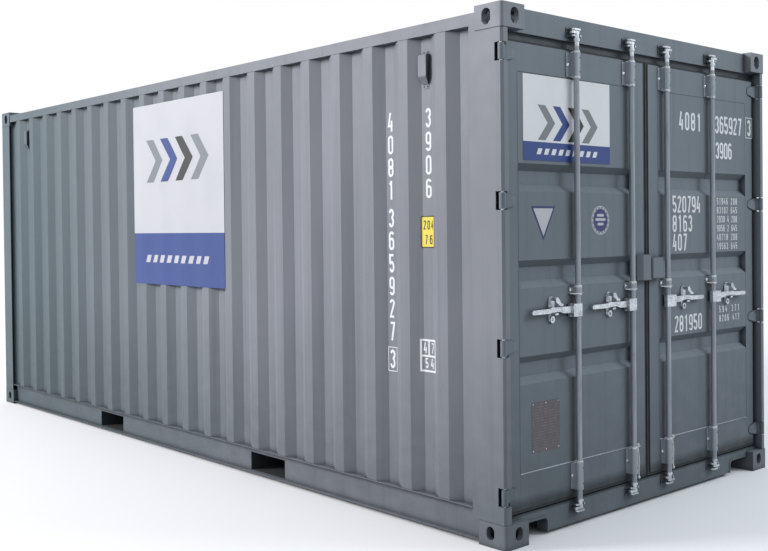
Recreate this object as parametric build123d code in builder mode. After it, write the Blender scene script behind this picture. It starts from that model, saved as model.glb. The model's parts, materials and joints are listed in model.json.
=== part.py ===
from build123d import *
import os
from math import cos, radians, sin, tan

os.makedirs("parts", exist_ok=True)

# Overall size of the container: X is its length, the doors face +X
LENGTH = 6058
WIDTH = 2438
HEIGHT = 2591
END = LENGTH / 2
SIDE = WIDTH / 2
LEFT = -1
RIGHT = 1

# Corner castings
CASTING_X = 178
CASTING_Y = 162
CASTING_Z = 118
CASTING_WALL = 28
CASTING_ROUND = 16
CASTING_INNER_X = 12
CASTING_INNER_Y = 14
SLOT_LONG = 124.5
SLOT_WIDE = 63.5
SLOT_X = 2926.5
SLOT_Y = 1129.5
SIDE_HOLE_X = END - 101.5
END_HOLE_Y = SIDE - 92
SHIELD_WIDE = 57
SHIELD_HIGH = 79
SHIELD_TIP = 10
FOOT_HOLE_WIDE = 51
FOOT_HOLE_HIGH = 66
FOOT_HOLE_Z = 67

# Post, rail and sheet positions
POST_FOOT = CASTING_Z
POST_HEAD = HEIGHT - CASTING_Z
PLATE = 6
POST_FACE_X = 3025
POST_SIDE_Y = 1215
JAMB_Y = 1174
REAR_POST_BACK = 2808
JAMB_BACK = 2905
FRONT_LEG_X = 2869
FRONT_LEG_Y = 1100
CASTING_BACK = END - CASTING_X
RAIL_TOP_LOW = 2502
RAIL_TOP_HIGH = 2562
RAIL_TOP_WALL = 3
RAIL_LOW = 18
RAIL_HIGH = 172
RAIL_WALL = 4.5
RAIL_WEB_Y = 1183
RAIL_END_X = 2848

# Corrugated side wall
SHEET = 2
SIDE_PITCH = 278
SIDE_FLAT_X = 2610
SIDE_FLATS = 20
SIDE_OUTER_HALF = 36
SIDE_INNER_HALF = 35
SIDE_OUTER_Y = 1213
SIDE_INNER_Y = 1177

# Corrugated front wall
FRONT_PITCH = 250
FRONT_OUTER_X = 3018.5
FRONT_DEPTH = 45.6
FRONT_INNER_HALF = 52
FRONT_HALF_Y = 1150
FRONT_LOW = 140
FRONT_RAIL_BACK = 2950

# Roof
ROOF_Z = RAIL_TOP_HIGH
RIB_HIGH = 21
RIB_PITCH = 209
RIB_COUNT = 25
RIB_BASE = 118
ROOF_SPAN = 2360
RIB_SPAN = 2180
ROOF_FRONT = -3016

# Base frame
FLOOR_Z = 168
BOARD = 28
FLOOR_UNDER = FLOOR_Z - BOARD
MEMBER_WALL = 4
MEMBER_FLANGE = 45
MEMBER_X = (154, 462, 770, 1290, 1572, 1854, 2136, 2418, 2700)
POCKET_X = 1030
POCKET_HALF = 180
POCKET_LOW = 22.5
POCKET_HIGH = 136
POCKET_PLATE = 4
STRAP_LENGTH = 220
TINY_GAP = 0.3

# Door end frame
DOOR_FACE = 2983
HEADER_FACE_LOW = 2467
HEADER_UNDER = 2432
HEADER_TOP = 2585
HEADER_SETBACK = 20
HEADER_BACK = 2913
SILL_TOP = 138
SILL_UNDER = 17
SILL_BACK = 2915
CUT_OUT_INNER = 865
CUT_OUT_TOP = 87
CUT_OUT_RADIUS = 25
CUT_OUT_RIM = 12

# Door leaves
LEAF_BACK = 2933
LEAF_HINGE_Y = 1142
LEAF_CENTRE_Y = 24.5
LEAF_LOW = 160
LEAF_HIGH = 2419
STILE_INNER_Y = 1062
STILE_CENTRE_Y = 117
TOP_RAIL_LOW = 2281
BOTTOM_RAIL_HIGH = 331
PANEL_SHEET = 4
RECESS_DEPTH = 36
RECESS_Z = (1771, 1299, 831)
RECESS_HALF = 68
RECESS_FLAT = 33
SEAM = 0.5
GASKET_FRONT = 2977
GASKET_BACK = 2938
GASKET_HINGE_Y = 1160
GASKET_CENTRE_Y = 4
GASKET_HIGH = 2427
GASKET_LOW = 143

# Hinges
PIN_X = 3008
PIN_Y = 1202
PIN_R = 8
PIN_BORE = 8.25
KNUCKLE_R = 16
HINGE_Z = (2358, 1655, 956, 249)
NOTCH_HIGH = 88
NOTCH_X = 2977
LUG = 16
HINGE_ROOT = 78
HINGE_TIP = 42
HINGE_TIP_Y = 1085
HINGE_BLADE = 9

# Locking gear
BAR_X = 3010
BAR_Y = (-640, -167, 167, 640)
BAR_R = 15
CAM_R = 17
CAM_REACH = 42
CAM_HALF = 14
CAM_LOW = 94
CAM_HIGH = 2503
CAM_THICK = 13
COLLAR_R = 19
SLEEVE_R = 18
SLEEVE_FLAT = 8
SLEEVE_BORE = 15.6
BRACKET_PLATE = 5
BRACKETS = ((2283, 2412, 52), (1187, 1226, 44), (190, 332, 40))
FLANGE = 4
FLANGE_TIP = 15
HUB_LOW = 1074
HUB_HIGH = 1139
HUB_REACH = 57
PIVOT = 40
PIVOT_Z = 1107
PIVOT_R = 5
PIVOT_PLAY = 0.25
LOCK_GAP = 3.2
LEVER_LOW = 1105
LEVER_HIGH = 1129
LEVER_END = 362
LEVER_THICK = 12
CATCH = 186
KEEPER_HALF = 50
KEEPER_PLATE = 4
KEEPER_FRONT = 3022
KEEPER_SLOT = 42
JAW = 9
KEEPER_JAW = 32
ROPE_R = 3
ROPE_X = 3000
ROPE_OUT = 52
ROPE_WING = 38


def block(x0, x1, y0, y1, z0, z1, mode=Mode.ADD):
    """Upright block between the given limits."""
    with Locations(((x0 + x1) / 2, (y0 + y1) / 2, (z0 + z1) / 2)):
        Box(abs(x1 - x0), abs(y1 - y0), abs(z1 - z0), mode=mode)


def plan_prism(points, z0, z1, mode=Mode.ADD):
    """Prism that stands on a plan outline."""
    with BuildSketch(Plane.XY.offset(z0)) as outline:
        with BuildLine():
            Polyline(*points, close=True)
        make_face()
    extrude(outline.sketch, amount=z1 - z0, mode=mode)


def across_prism(points, y0, y1, mode=Mode.ADD):
    """Prism with an outline in X and Z that runs across the width."""
    plane = Plane(origin=(0, y0, 0), x_dir=(1, 0, 0), z_dir=(0, -1, 0))
    with BuildSketch(plane) as outline:
        with BuildLine():
            Polyline(*points, close=True)
        make_face()
    extrude(outline.sketch, amount=y0 - y1, mode=mode)


def face_plane(x, y=0, z=0):
    """Plane that looks out of the door end: its X is +Y, its Y is +Z."""
    return Plane(origin=(x, y, z), x_dir=(0, 1, 0), z_dir=(1, 0, 0))


def shield_face(plane):
    """Side or end hole of a top casting: round above, narrow below."""
    half = SHIELD_WIDE / 2
    shoulder = SHIELD_HIGH / 2 - half
    waist = -SHIELD_HIGH / 4
    tip = -SHIELD_HIGH / 2
    with BuildSketch(plane) as hole:
        with BuildLine():
            Polyline(
                (half, shoulder), (half, waist), (SHIELD_TIP, tip),
                (-SHIELD_TIP, tip), (-half, waist), (-half, shoulder))
            ThreePointArc((-half, shoulder), (0, shoulder + half), (half, shoulder))
        make_face()
    return hole.sketch


def foot_face(plane):
    """Side or end hole of a bottom casting: an upright rounded slot."""
    with BuildSketch(plane) as hole:
        SlotOverall(FOOT_HOLE_HIGH, FOOT_HOLE_WIDE, rotation=90)
    return hole.sketch


def castings(end, top):
    """Pair of hollow corner castings at one end, top or bottom."""
    low = HEIGHT - CASTING_Z if top else 0
    high = low + CASTING_Z
    outer_z = high if top else low
    inner_z = high - CASTING_WALL if top else low + CASTING_WALL
    far_z = low + CASTING_INNER_Y if top else high - CASTING_INNER_Y
    hole_z = HEIGHT - CASTING_Z / 2 if top else FOOT_HOLE_Z
    hole = shield_face if top else foot_face
    with BuildPart() as pair:
        for side in (LEFT, RIGHT):
            with BuildSketch(Plane.XY.offset(low)) as outline:
                with BuildLine():
                    Polyline(
                        (end * (END - CASTING_ROUND), side * SIDE), (end * CASTING_BACK, side * SIDE),
                        (end * CASTING_BACK, side * (SIDE - CASTING_Y)),
                        (end * END, side * (SIDE - CASTING_Y)),
                        (end * END, side * (SIDE - CASTING_ROUND)))
                    RadiusArc(
                        (end * END, side * (SIDE - CASTING_ROUND)),
                        (end * (END - CASTING_ROUND), side * SIDE), -end * side * CASTING_ROUND)
                make_face()
            extrude(outline.sketch, amount=CASTING_Z)
            block(
                end * (CASTING_BACK + CASTING_INNER_X), end * (END - CASTING_WALL),
                side * (SIDE - CASTING_Y + CASTING_INNER_Y), side * (SIDE - CASTING_WALL),
                inner_z, far_z, mode=Mode.SUBTRACT)
            with BuildSketch(Plane.XY.offset(min(outer_z, inner_z))) as slot:
                with Locations((end * SLOT_X, side * SLOT_Y)):
                    SlotOverall(SLOT_LONG, SLOT_WIDE)
            extrude(slot.sketch, amount=CASTING_WALL, mode=Mode.SUBTRACT)
            side_plane = Plane(
                origin=(end * SIDE_HOLE_X, side * SIDE, hole_z),
                x_dir=(-side, 0, 0), z_dir=(0, side, 0))
            extrude(hole(side_plane), amount=-CASTING_WALL, mode=Mode.SUBTRACT)
            end_plane = Plane(
                origin=(end * END, side * END_HOLE_Y, hole_z),
                x_dir=(0, end, 0), z_dir=(end, 0, 0))
            extrude(hole(end_plane), amount=-CASTING_WALL, mode=Mode.SUBTRACT)
    return pair


def rear_post(side):
    """Closed door post with four hinge notches, each shut by a lug above and below."""
    corner = 12
    outer = [
        (REAR_POST_BACK, -POST_SIDE_Y), (POST_FACE_X - corner, -POST_SIDE_Y),
        (POST_FACE_X, -POST_SIDE_Y + corner), (POST_FACE_X, -JAMB_Y),
        (JAMB_BACK, -JAMB_Y), (REAR_POST_BACK, -POST_SIDE_Y + PLATE)]
    inside_y = -POST_SIDE_Y + PLATE
    inside_x = POST_FACE_X - PLATE
    inner = [
        (REAR_POST_BACK + 3 * PLATE, inside_y), (inside_x - corner + PLATE / 2, inside_y),
        (inside_x, inside_y + corner - PLATE / 2), (inside_x, -JAMB_Y - PLATE),
        (JAMB_BACK, -JAMB_Y - PLATE)]
    outer = [(x, -side * y) for x, y in outer]
    inner = [(x, -side * y) for x, y in inner]
    with BuildPart() as post:
        plan_prism(outer, POST_FOOT, POST_HEAD)
        plan_prism(inner, POST_FOOT, POST_HEAD, mode=Mode.SUBTRACT)
        block(
            REAR_POST_BACK, CASTING_BACK, side * POST_SIDE_Y,
            side * (POST_SIDE_Y - PLATE), POST_HEAD, RAIL_TOP_LOW)
        for z in HINGE_Z:
            half = NOTCH_HIGH / 2
            block(
                NOTCH_X, END + PLATE, side * (JAMB_Y - PLATE), side * (SIDE + PLATE),
                z - half, z + half, mode=Mode.SUBTRACT)
            for low in (z - half - LUG, z + half):
                plan_prism(inner, low, low + LUG)
    return post


def hinge_pins():
    """Eight pins that stand between the lugs of the door posts."""
    with BuildPart() as pins:
        for side in (LEFT, RIGHT):
            for z in HINGE_Z:
                with Locations((PIN_X, side * PIN_Y, z)):
                    Cylinder(PIN_R, NOTCH_HIGH)
    return pins


def front_posts():
    """Two angle posts at the closed end."""
    with BuildPart() as posts:
        for side in (LEFT, RIGHT):
            outline = [
                (-FRONT_LEG_X, POST_SIDE_Y), (-POST_FACE_X, POST_SIDE_Y),
                (-POST_FACE_X, FRONT_LEG_Y), (-POST_FACE_X + PLATE, FRONT_LEG_Y),
                (-POST_FACE_X + PLATE, POST_SIDE_Y - PLATE),
                (-FRONT_LEG_X, POST_SIDE_Y - PLATE)]
            plan_prism([(x, side * y) for x, y in outline], POST_FOOT, POST_HEAD)
    return posts


def side_points():
    """Plan line of the outer surface of a side wall, door end first."""
    points = [(2828, SIDE_INNER_Y + 23.3), (2784, SIDE_INNER_Y), (2714, SIDE_INNER_Y)]
    for number in range(SIDE_FLATS):
        centre = SIDE_FLAT_X - SIDE_PITCH * number
        points.append((centre + SIDE_OUTER_HALF, SIDE_OUTER_Y))
        points.append((centre - SIDE_OUTER_HALF, SIDE_OUTER_Y))
        inner = centre - SIDE_PITCH / 2
        points.append((inner + SIDE_INNER_HALF, SIDE_INNER_Y))
        points.append((inner - SIDE_INNER_HALF, SIDE_INNER_Y))
    points.append((-2905, SIDE_INNER_Y + 31.2))
    return points


def side_wall(side):
    """Corrugated sheet between the side rails."""
    line = side_points()
    outer = [(x, side * y) for x, y in line]
    inner = [(x, side * (y - SHEET)) for x, y in reversed(line)]
    with BuildPart() as wall:
        plan_prism(outer + inner, RAIL_HIGH, RAIL_TOP_LOW)
        block(
            -END, -CASTING_BACK, 0, side * SIDE, POST_HEAD, HEIGHT, mode=Mode.SUBTRACT)
    return wall


def front_wall():
    """Corrugated sheet of the closed end."""
    rise = 18
    line = [(-FRONT_OUTER_X, -FRONT_HALF_Y)]
    for number in range(9):
        centre = -1000 + FRONT_PITCH * number
        line.append((-FRONT_OUTER_X, centre - FRONT_INNER_HALF - rise))
        line.append((-FRONT_OUTER_X + FRONT_DEPTH, centre - FRONT_INNER_HALF))
        line.append((-FRONT_OUTER_X + FRONT_DEPTH, centre + FRONT_INNER_HALF))
        line.append((-FRONT_OUTER_X, centre + FRONT_INNER_HALF + rise))
    line.append((-FRONT_OUTER_X, FRONT_HALF_Y))
    back = [(x + SHEET, y) for x, y in reversed(line)]
    with BuildPart() as wall:
        plan_prism(line + back, FRONT_LOW, POST_HEAD)
    return wall


def front_end_rails():
    """Header and sill of the closed end, fitted between the castings."""
    edge = SIDE - CASTING_Y
    with BuildPart() as rails:
        block(
            -FRONT_OUTER_X, -FRONT_RAIL_BACK, -edge, edge, POST_HEAD, RAIL_TOP_HIGH)
        block(-FRONT_OUTER_X, -FRONT_RAIL_BACK, -edge, edge, RAIL_LOW, FRONT_LOW)
        block(
            -FRONT_OUTER_X, -FRONT_RAIL_BACK, -FRONT_HALF_Y, FRONT_HALF_Y,
            CASTING_Z, FRONT_LOW)
    return rails


def top_side_rails():
    """Two square tubes along the roof edges."""
    with BuildPart() as rails:
        for side in (LEFT, RIGHT):
            inner = POST_SIDE_Y - (RAIL_TOP_HIGH - RAIL_TOP_LOW)
            block(
                -CASTING_BACK, CASTING_BACK, side * inner, side * POST_SIDE_Y,
                RAIL_TOP_LOW, RAIL_TOP_HIGH)
            block(
                -CASTING_BACK, CASTING_BACK, side * (inner + RAIL_TOP_WALL),
                side * (POST_SIDE_Y - RAIL_TOP_WALL), RAIL_TOP_LOW + RAIL_TOP_WALL,
                RAIL_TOP_HIGH - RAIL_TOP_WALL, mode=Mode.SUBTRACT)
    return rails


def bottom_side_rails():
    """Two channels, open outward, cut through at the fork pockets."""
    lip_top = 1218
    lip_bottom = 1217
    with BuildPart() as rails:
        for side in (LEFT, RIGHT):
            block(
                -RAIL_END_X, RAIL_END_X, side * (RAIL_WEB_Y - RAIL_WALL),
                side * RAIL_WEB_Y, RAIL_LOW, RAIL_HIGH)
            block(
                -RAIL_END_X, RAIL_END_X, side * RAIL_WEB_Y, side * lip_top,
                RAIL_HIGH - RAIL_WALL, RAIL_HIGH)
            block(
                -RAIL_END_X, RAIL_END_X, side * RAIL_WEB_Y, side * lip_bottom,
                RAIL_LOW, RAIL_LOW + RAIL_WALL)
            for x in (-POCKET_X, POCKET_X):
                block(
                    x - POCKET_HALF, x + POCKET_HALF, side * (RAIL_WEB_Y - 2 * RAIL_WALL),
                    side * (RAIL_WEB_Y + 1), POCKET_LOW, POCKET_HIGH, mode=Mode.SUBTRACT)
            block(
                REAR_POST_BACK, RAIL_END_X + 1, side * (RAIL_WEB_Y + 3), side * SIDE,
                POST_FOOT, RAIL_HIGH + 1, mode=Mode.SUBTRACT)
    return rails


def cross_members():
    """Floor channels between the bottom rails."""
    half = RAIL_WEB_Y - RAIL_WALL
    with BuildPart() as members:
        for side in (LEFT, RIGHT):
            for x in MEMBER_X:
                web = side * x
                lip = web + MEMBER_FLANGE * side
                step = MEMBER_WALL * side
                outline = [
                    (web, RAIL_LOW), (lip, RAIL_LOW), (lip, RAIL_LOW + MEMBER_WALL),
                    (web + step, RAIL_LOW + MEMBER_WALL),
                    (web + step, FLOOR_UNDER - MEMBER_WALL),
                    (lip, FLOOR_UNDER - MEMBER_WALL), (lip, FLOOR_UNDER),
                    (web, FLOOR_UNDER)]
                across_prism(outline, -half, half)
    return members


def fork_pockets():
    """Plates that line the two lift-truck pockets."""
    half = RAIL_WEB_Y - RAIL_WALL
    with BuildPart() as pockets:
        for x in (-POCKET_X, POCKET_X):
            for way in (-1, 1):
                near = x + way * POCKET_HALF
                block(
                    near, near + way * POCKET_PLATE, -half, half, RAIL_LOW,
                    POCKET_HIGH - TINY_GAP)
                block(
                    x - POCKET_HALF + TINY_GAP, x + POCKET_HALF - TINY_GAP, way * half,
                    way * (half - STRAP_LENGTH), RAIL_LOW, RAIL_LOW + MEMBER_WALL)
            reach = POCKET_HALF + POCKET_PLATE
            block(x - reach, x + reach, -half, half, POCKET_HIGH, FLOOR_UNDER)
    return pockets


def floor_boards():
    """Six floor panels in two rows."""
    joint = 2
    edge = JAMB_Y - 1
    ends = (-2945, -982, 975, SILL_BACK - joint)
    with BuildPart() as floor:
        for number in range(3):
            for side in (LEFT, RIGHT):
                block(
                    ends[number] + joint, ends[number + 1], side * joint, side * edge,
                    FLOOR_UNDER, FLOOR_Z)
    return floor


def roof_panel():
    """Ribbed roof sheet with a flat plate between the castings at each end."""
    corner = SIDE - CASTING_Y
    with BuildPart() as roof:
        for near, far in ((-CASTING_BACK, ROOF_FRONT), (CASTING_BACK, HEADER_BACK)):
            step = TINY_GAP if near > 0 else -TINY_GAP
            block(near + step, far, -corner, corner, ROOF_Z, ROOF_Z + SHEET)
        block(
            -CASTING_BACK, CASTING_BACK, -ROOF_SPAN / 2, ROOF_SPAN / 2,
            ROOF_Z, ROOF_Z + SHEET)
        with BuildSketch(Plane.XY.offset(ROOF_Z + SHEET)) as tops:
            with GridLocations(RIB_PITCH, 1, RIB_COUNT, 1):
                Rectangle(RIB_BASE, RIB_SPAN)
        extrude(tops.sketch, amount=RIB_HIGH, taper=50)
        with BuildSketch(Plane.XY.offset(ROOF_Z)) as hollows:
            with GridLocations(RIB_PITCH, 1, RIB_COUNT, 1):
                Rectangle(RIB_BASE - SHEET, RIB_SPAN - SHEET)
        extrude(hollows.sketch, amount=RIB_HIGH, taper=50, mode=Mode.SUBTRACT)
    return roof


def door_header():
    """Box section over the doors, its lower lip set back."""
    wide = JAMB_Y
    edge = SIDE - CASTING_Y
    outer = [
        (DOOR_FACE, HEADER_FACE_LOW), (DOOR_FACE, HEADER_TOP), (HEADER_BACK, HEADER_TOP),
        (HEADER_BACK, HEADER_UNDER), (DOOR_FACE - HEADER_SETBACK, HEADER_UNDER),
        (DOOR_FACE - HEADER_SETBACK, HEADER_FACE_LOW)]
    inner = [
        (DOOR_FACE - PLATE, HEADER_FACE_LOW + PLATE), (DOOR_FACE - PLATE, HEADER_TOP - PLATE),
        (HEADER_BACK + PLATE, HEADER_TOP - PLATE), (HEADER_BACK + PLATE, HEADER_UNDER + PLATE),
        (DOOR_FACE - HEADER_SETBACK - PLATE, HEADER_UNDER + PLATE),
        (DOOR_FACE - HEADER_SETBACK - PLATE, HEADER_FACE_LOW + PLATE)]
    with BuildPart() as header:
        across_prism(outer, -wide, wide)
        across_prism(inner, -wide, wide, mode=Mode.SUBTRACT)
        for side in (LEFT, RIGHT):
            block(
                HEADER_BACK - 1, DOOR_FACE + 1, side * edge, side * SIDE, POST_HEAD,
                HEADER_TOP + 1, mode=Mode.SUBTRACT)
    return header


def cut_out_face(plane, inner, top, radius):
    """Outline of a sill cut-out, seen from the door end, for one side."""
    edge = SIDE - CASTING_Y + 1
    with BuildSketch(plane) as outline:
        with BuildLine():
            Polyline((edge, -10), (edge, top), (inner + radius, top))
            ThreePointArc(
                (inner + radius, top),
                (inner + radius * (1 - cos(radians(45))), top - radius * (1 - sin(radians(45)))),
                (inner, top - radius))
            Polyline((inner, top - radius), (inner, -10), (edge, -10))
        make_face()
    return outline.sketch


def door_sill():
    """Box section under the doors with a lined cut-out at each end."""
    edge = SIDE - CASTING_Y
    inner = CUT_OUT_INNER - CUT_OUT_RIM
    top = CUT_OUT_TOP + CUT_OUT_RIM
    radius = CUT_OUT_RADIUS + CUT_OUT_RIM
    reach = DOOR_FACE - SILL_BACK
    with BuildPart() as sill:
        for y in (edge, JAMB_Y):
            low = SILL_UNDER if y == edge else POST_FOOT
            block(DOOR_FACE - PLATE, DOOR_FACE, -y, y, low, SILL_TOP)
            block(SILL_BACK, SILL_BACK + PLATE, -y, y, low, FLOOR_Z)
        block(SILL_BACK, DOOR_FACE, -JAMB_Y, JAMB_Y, SILL_TOP - PLATE, SILL_TOP)
        block(SILL_BACK, DOOR_FACE, -inner, inner, SILL_UNDER, SILL_UNDER + PLATE)
        for side in (LEFT, RIGHT):
            plane = Plane(origin=(DOOR_FACE, 0, 0), x_dir=(0, side, 0), z_dir=(side, 0, 0))
            window = cut_out_face(plane, inner, top, radius)
            extrude(window, amount=-side * reach, mode=Mode.SUBTRACT)
            rim = Plane(
                origin=(DOOR_FACE + 3, 0, 0), x_dir=(0, side, 0), z_dir=(side, 0, 0))
            extrude(cut_out_face(rim, inner, top, radius), amount=-side * (reach + 3))
            extrude(
                cut_out_face(rim, CUT_OUT_INNER, CUT_OUT_TOP, CUT_OUT_RADIUS),
                amount=-side * (reach + 3), mode=Mode.SUBTRACT)
            block(
                SILL_BACK - 1, DOOR_FACE + PLATE, side * edge, side * (edge + 5), -20,
                CASTING_Z, mode=Mode.SUBTRACT)
            block(
                SILL_BACK - 1, DOOR_FACE + PLATE, side * inner, side * edge, -20,
                SILL_UNDER, mode=Mode.SUBTRACT)
    return sill


def door_frame(side):
    """Two stiles and two rails of one leaf."""
    with BuildPart() as frame:
        block(
            LEAF_BACK, DOOR_FACE, side * STILE_INNER_Y, side * LEAF_HINGE_Y,
            LEAF_LOW, LEAF_HIGH)
        block(
            LEAF_BACK, DOOR_FACE, side * LEAF_CENTRE_Y, side * STILE_CENTRE_Y,
            LEAF_LOW, LEAF_HIGH)
        for low, high in ((LEAF_LOW, BOTTOM_RAIL_HIGH), (TOP_RAIL_LOW, LEAF_HIGH)):
            block(
                LEAF_BACK, DOOR_FACE, side * (STILE_CENTRE_Y + SEAM),
                side * (STILE_INNER_Y - SEAM), low, high)
    return frame


def door_panel(side):
    """Pressed sheet of one leaf with three recesses across it."""
    line = [(DOOR_FACE, TOP_RAIL_LOW - SEAM)]
    for z in RECESS_Z:
        line.append((DOOR_FACE, z + RECESS_HALF))
        line.append((DOOR_FACE - RECESS_DEPTH, z + RECESS_FLAT))
        line.append((DOOR_FACE - RECESS_DEPTH, z - RECESS_FLAT))
        line.append((DOOR_FACE, z - RECESS_HALF))
    line.append((DOOR_FACE, BOTTOM_RAIL_HIGH + SEAM))
    back = [(x - PANEL_SHEET, z) for x, z in reversed(line)]
    near = side * (STILE_CENTRE_Y + SEAM)
    far = side * (STILE_INNER_Y - SEAM)
    with BuildPart() as panel:
        across_prism(line + back, min(near, far), max(near, far))
    return panel


def door_gasket(side):
    """Rubber seal strips round one leaf."""
    with BuildPart() as gasket:
        for near, far in (
                (GASKET_CENTRE_Y, LEAF_CENTRE_Y), (LEAF_HINGE_Y, GASKET_HINGE_Y)):
            block(
                GASKET_BACK, GASKET_FRONT, side * near, side * far, LEAF_LOW, LEAF_HIGH)
        for low, high in ((GASKET_LOW, LEAF_LOW - SEAM), (LEAF_HIGH + SEAM, GASKET_HIGH)):
            block(
                GASKET_BACK, GASKET_FRONT, side * GASKET_CENTRE_Y,
                side * GASKET_HINGE_Y, low, high)
    return gasket


def door_hinges(side):
    """Four tapered hinge blades with bored knuckles."""
    face = DOOR_FACE
    plan = [
        (face, HINGE_TIP_Y), (face + 3, HINGE_TIP_Y), (face + HINGE_BLADE, HINGE_TIP_Y + 24),
        (face + HINGE_BLADE, PIN_Y - 22), (PIN_X - 4, PIN_Y - 15.4), (PIN_X, PIN_Y),
        (PIN_X - 14.5, PIN_Y + 6), (face, PIN_Y - 4)]
    root = HINGE_ROOT / 2
    tip = HINGE_TIP / 2
    round_y = side * (HINGE_TIP_Y + 8)
    taper_y = side * 1168
    with BuildPart() as hinge:
        plan_prism([(x, side * y) for x, y in plan], -root, root)
        with BuildSketch(face_plane(face - 1)) as blade:
            with BuildLine():
                Polyline(
                    (round_y, tip), (taper_y, root), (side * SIDE, root),
                    (side * SIDE, -root), (taper_y, -root), (round_y, -tip))
                ThreePointArc((round_y, -tip), (side * HINGE_TIP_Y, 0), (round_y, tip))
            make_face()
        extrude(blade.sketch, amount=HINGE_ROOT, mode=Mode.INTERSECT)
        with Locations((PIN_X, side * PIN_Y, 0)):
            Cylinder(KNUCKLE_R, HINGE_ROOT)
            Cylinder(PIN_BORE, HINGE_ROOT, mode=Mode.SUBTRACT)
    with BuildPart() as hinges:
        with Locations(*[(0, 0, z) for z in HINGE_Z]):
            add(hinge.part)
    return hinges


def lock_box(side):
    """One half of the lock shield over the gap between the doors."""
    if side == LEFT:
        far, low, high, proud, bevel = 107, 1232, 1370, 37, 26
    else:
        far, low, high, proud, bevel = 110, 1240, 1352, 41, 9
    edge = 5
    front = DOOR_FACE + proud
    plan = [
        (DOOR_FACE, LOCK_GAP), (front - edge, LOCK_GAP), (front, LOCK_GAP + edge),
        (front, far - bevel), (front - bevel, far), (DOOR_FACE, far)]
    with BuildPart() as box:
        plan_prism([(x, side * y) for x, y in plan], low, high)
    return box


def door_bars(side):
    """Bar positions of one leaf."""
    return [y for y in BAR_Y if y * side > 0]


def flange(y, low, half, wing=0):
    """Thin flange across a sleeve: wide at the door and narrow before the bar."""
    outline = [
        (DOOR_FACE, -half), (BAR_X - FLANGE_TIP, -half), (END - 4, -FLANGE_TIP), (END, -5),
        (END, 5), (END - 4, FLANGE_TIP), (BAR_X, half), (BAR_X - 1, half + wing),
        (DOOR_FACE, half + wing)]
    plan_prism([(x, y + v) for x, v in outline], low, low + FLANGE)
    with Locations((BAR_X, y, low + FLANGE / 2)):
        Cylinder(SLEEVE_BORE, FLANGE, mode=Mode.SUBTRACT)


def bar_brackets(side):
    """Three plates with a flanged half-round sleeve for each bar of one leaf."""
    with BuildPart() as brackets:
        for y in door_bars(side):
            for low, high, half in BRACKETS:
                block(
                    DOOR_FACE, DOOR_FACE + BRACKET_PLATE, y - half, y + half,
                    low + FLANGE, high - FLANGE)
                with BuildSketch(Plane.XY.offset(low)) as sleeve:
                    with Locations(((DOOR_FACE + BAR_X) / 2, y)):
                        Rectangle(BAR_X - DOOR_FACE, 2 * SLEEVE_R + SLEEVE_FLAT)
                    with Locations((BAR_X, y)):
                        SlotCenterToCenter(SLEEVE_FLAT, 2 * SLEEVE_R, rotation=90)
                        Circle(SLEEVE_BORE, mode=Mode.SUBTRACT)
                extrude(sleeve.sketch, amount=high - low)
            (top_low, top_high, _), (mid_low, _, mid_half), (_, foot_high, _) = BRACKETS
            flange(y, top_low, SLEEVE_R + SLEEVE_FLAT)
            flange(y, top_high - FLANGE, SLEEVE_R + SLEEVE_FLAT)
            flange(y, mid_low, mid_half)
            flange(
                y, foot_high - FLANGE, SLEEVE_R + SLEEVE_FLAT,
                ROPE_WING if abs(y) < 300 else 0)
        with BuildSketch(Plane.XY.offset(BRACKETS[2][1] - FLANGE)) as rope_hole:
            with Locations((ROPE_X, side * BAR_Y[2] + ROPE_OUT)):
                Circle(ROPE_R + 1)
        extrude(rope_hole.sketch, amount=FLANGE, mode=Mode.SUBTRACT)
    return brackets


def handle_catches(side):
    """Oval plates with a seat below and a slanted latch above each handle."""
    face = DOOR_FACE + PLATE
    latch_low = LEVER_HIGH + 5
    latch_back = BAR_X + LEVER_THICK / 2 + 5
    eye_z = PIVOT_Z - 40
    seat = [
        (face, 1082), (latch_back - 3, 1086), (latch_back + 3, 1091), (latch_back + 3, 1100),
        (face, 1100)]
    arm = [
        (-11, 1158), (-11, 1176), (2, 1180), (13, 1172), (30, 1148), (46, 1144),
        (46, latch_low), (22, latch_low), (12, 1142)]
    with BuildPart() as catches:
        for bar in door_bars(side):
            y = bar + side * CATCH
            with BuildSketch(face_plane(DOOR_FACE)) as plate:
                with Locations((y, PIVOT_Z + 10)):
                    SlotOverall(130, 46, rotation=90)
            extrude(plate.sketch, amount=PLATE)
            with BuildSketch(face_plane(face)) as eye:
                with Locations((y, eye_z)):
                    Circle(17)
                    Circle(8, mode=Mode.SUBTRACT)
            extrude(eye.sketch, amount=8)
            across_prism(seat, y - 13, y + 13)
            block(face, latch_back, y - 11, y + 11, 1160.5, 1178)
            with BuildSketch(face_plane(latch_back)) as latch:
                with BuildLine():
                    Polyline(*[(y + a, b) for a, b in arm], close=True)
                make_face()
            extrude(latch.sketch, amount=END - latch_back - 1)
    return catches


def rope_route(points):
    """Straight runs joined by arcs, each arc as wide as its two runs allow."""
    corners = [Vector(*point) for point in points]
    start = corners[0]
    for before, corner, after in zip(corners, corners[1:], corners[2:]):
        way_in = (corner - before).normalized()
        way_out = (after - corner).normalized()
        reach = 0.45 * min((corner - before).length, (after - corner).length)
        half_turn = radians(way_in.get_angle(way_out)) / 2
        radius = reach / tan(half_turn)
        inward = (way_out - way_in).normalized() * radius * (1 / cos(half_turn) - 1)
        Line(start, corner - way_in * reach)
        ThreePointArc(corner - way_in * reach, corner + inward, corner + way_out * reach)
        start = corner + way_out * reach
    Line(start, corners[-1])


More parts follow.
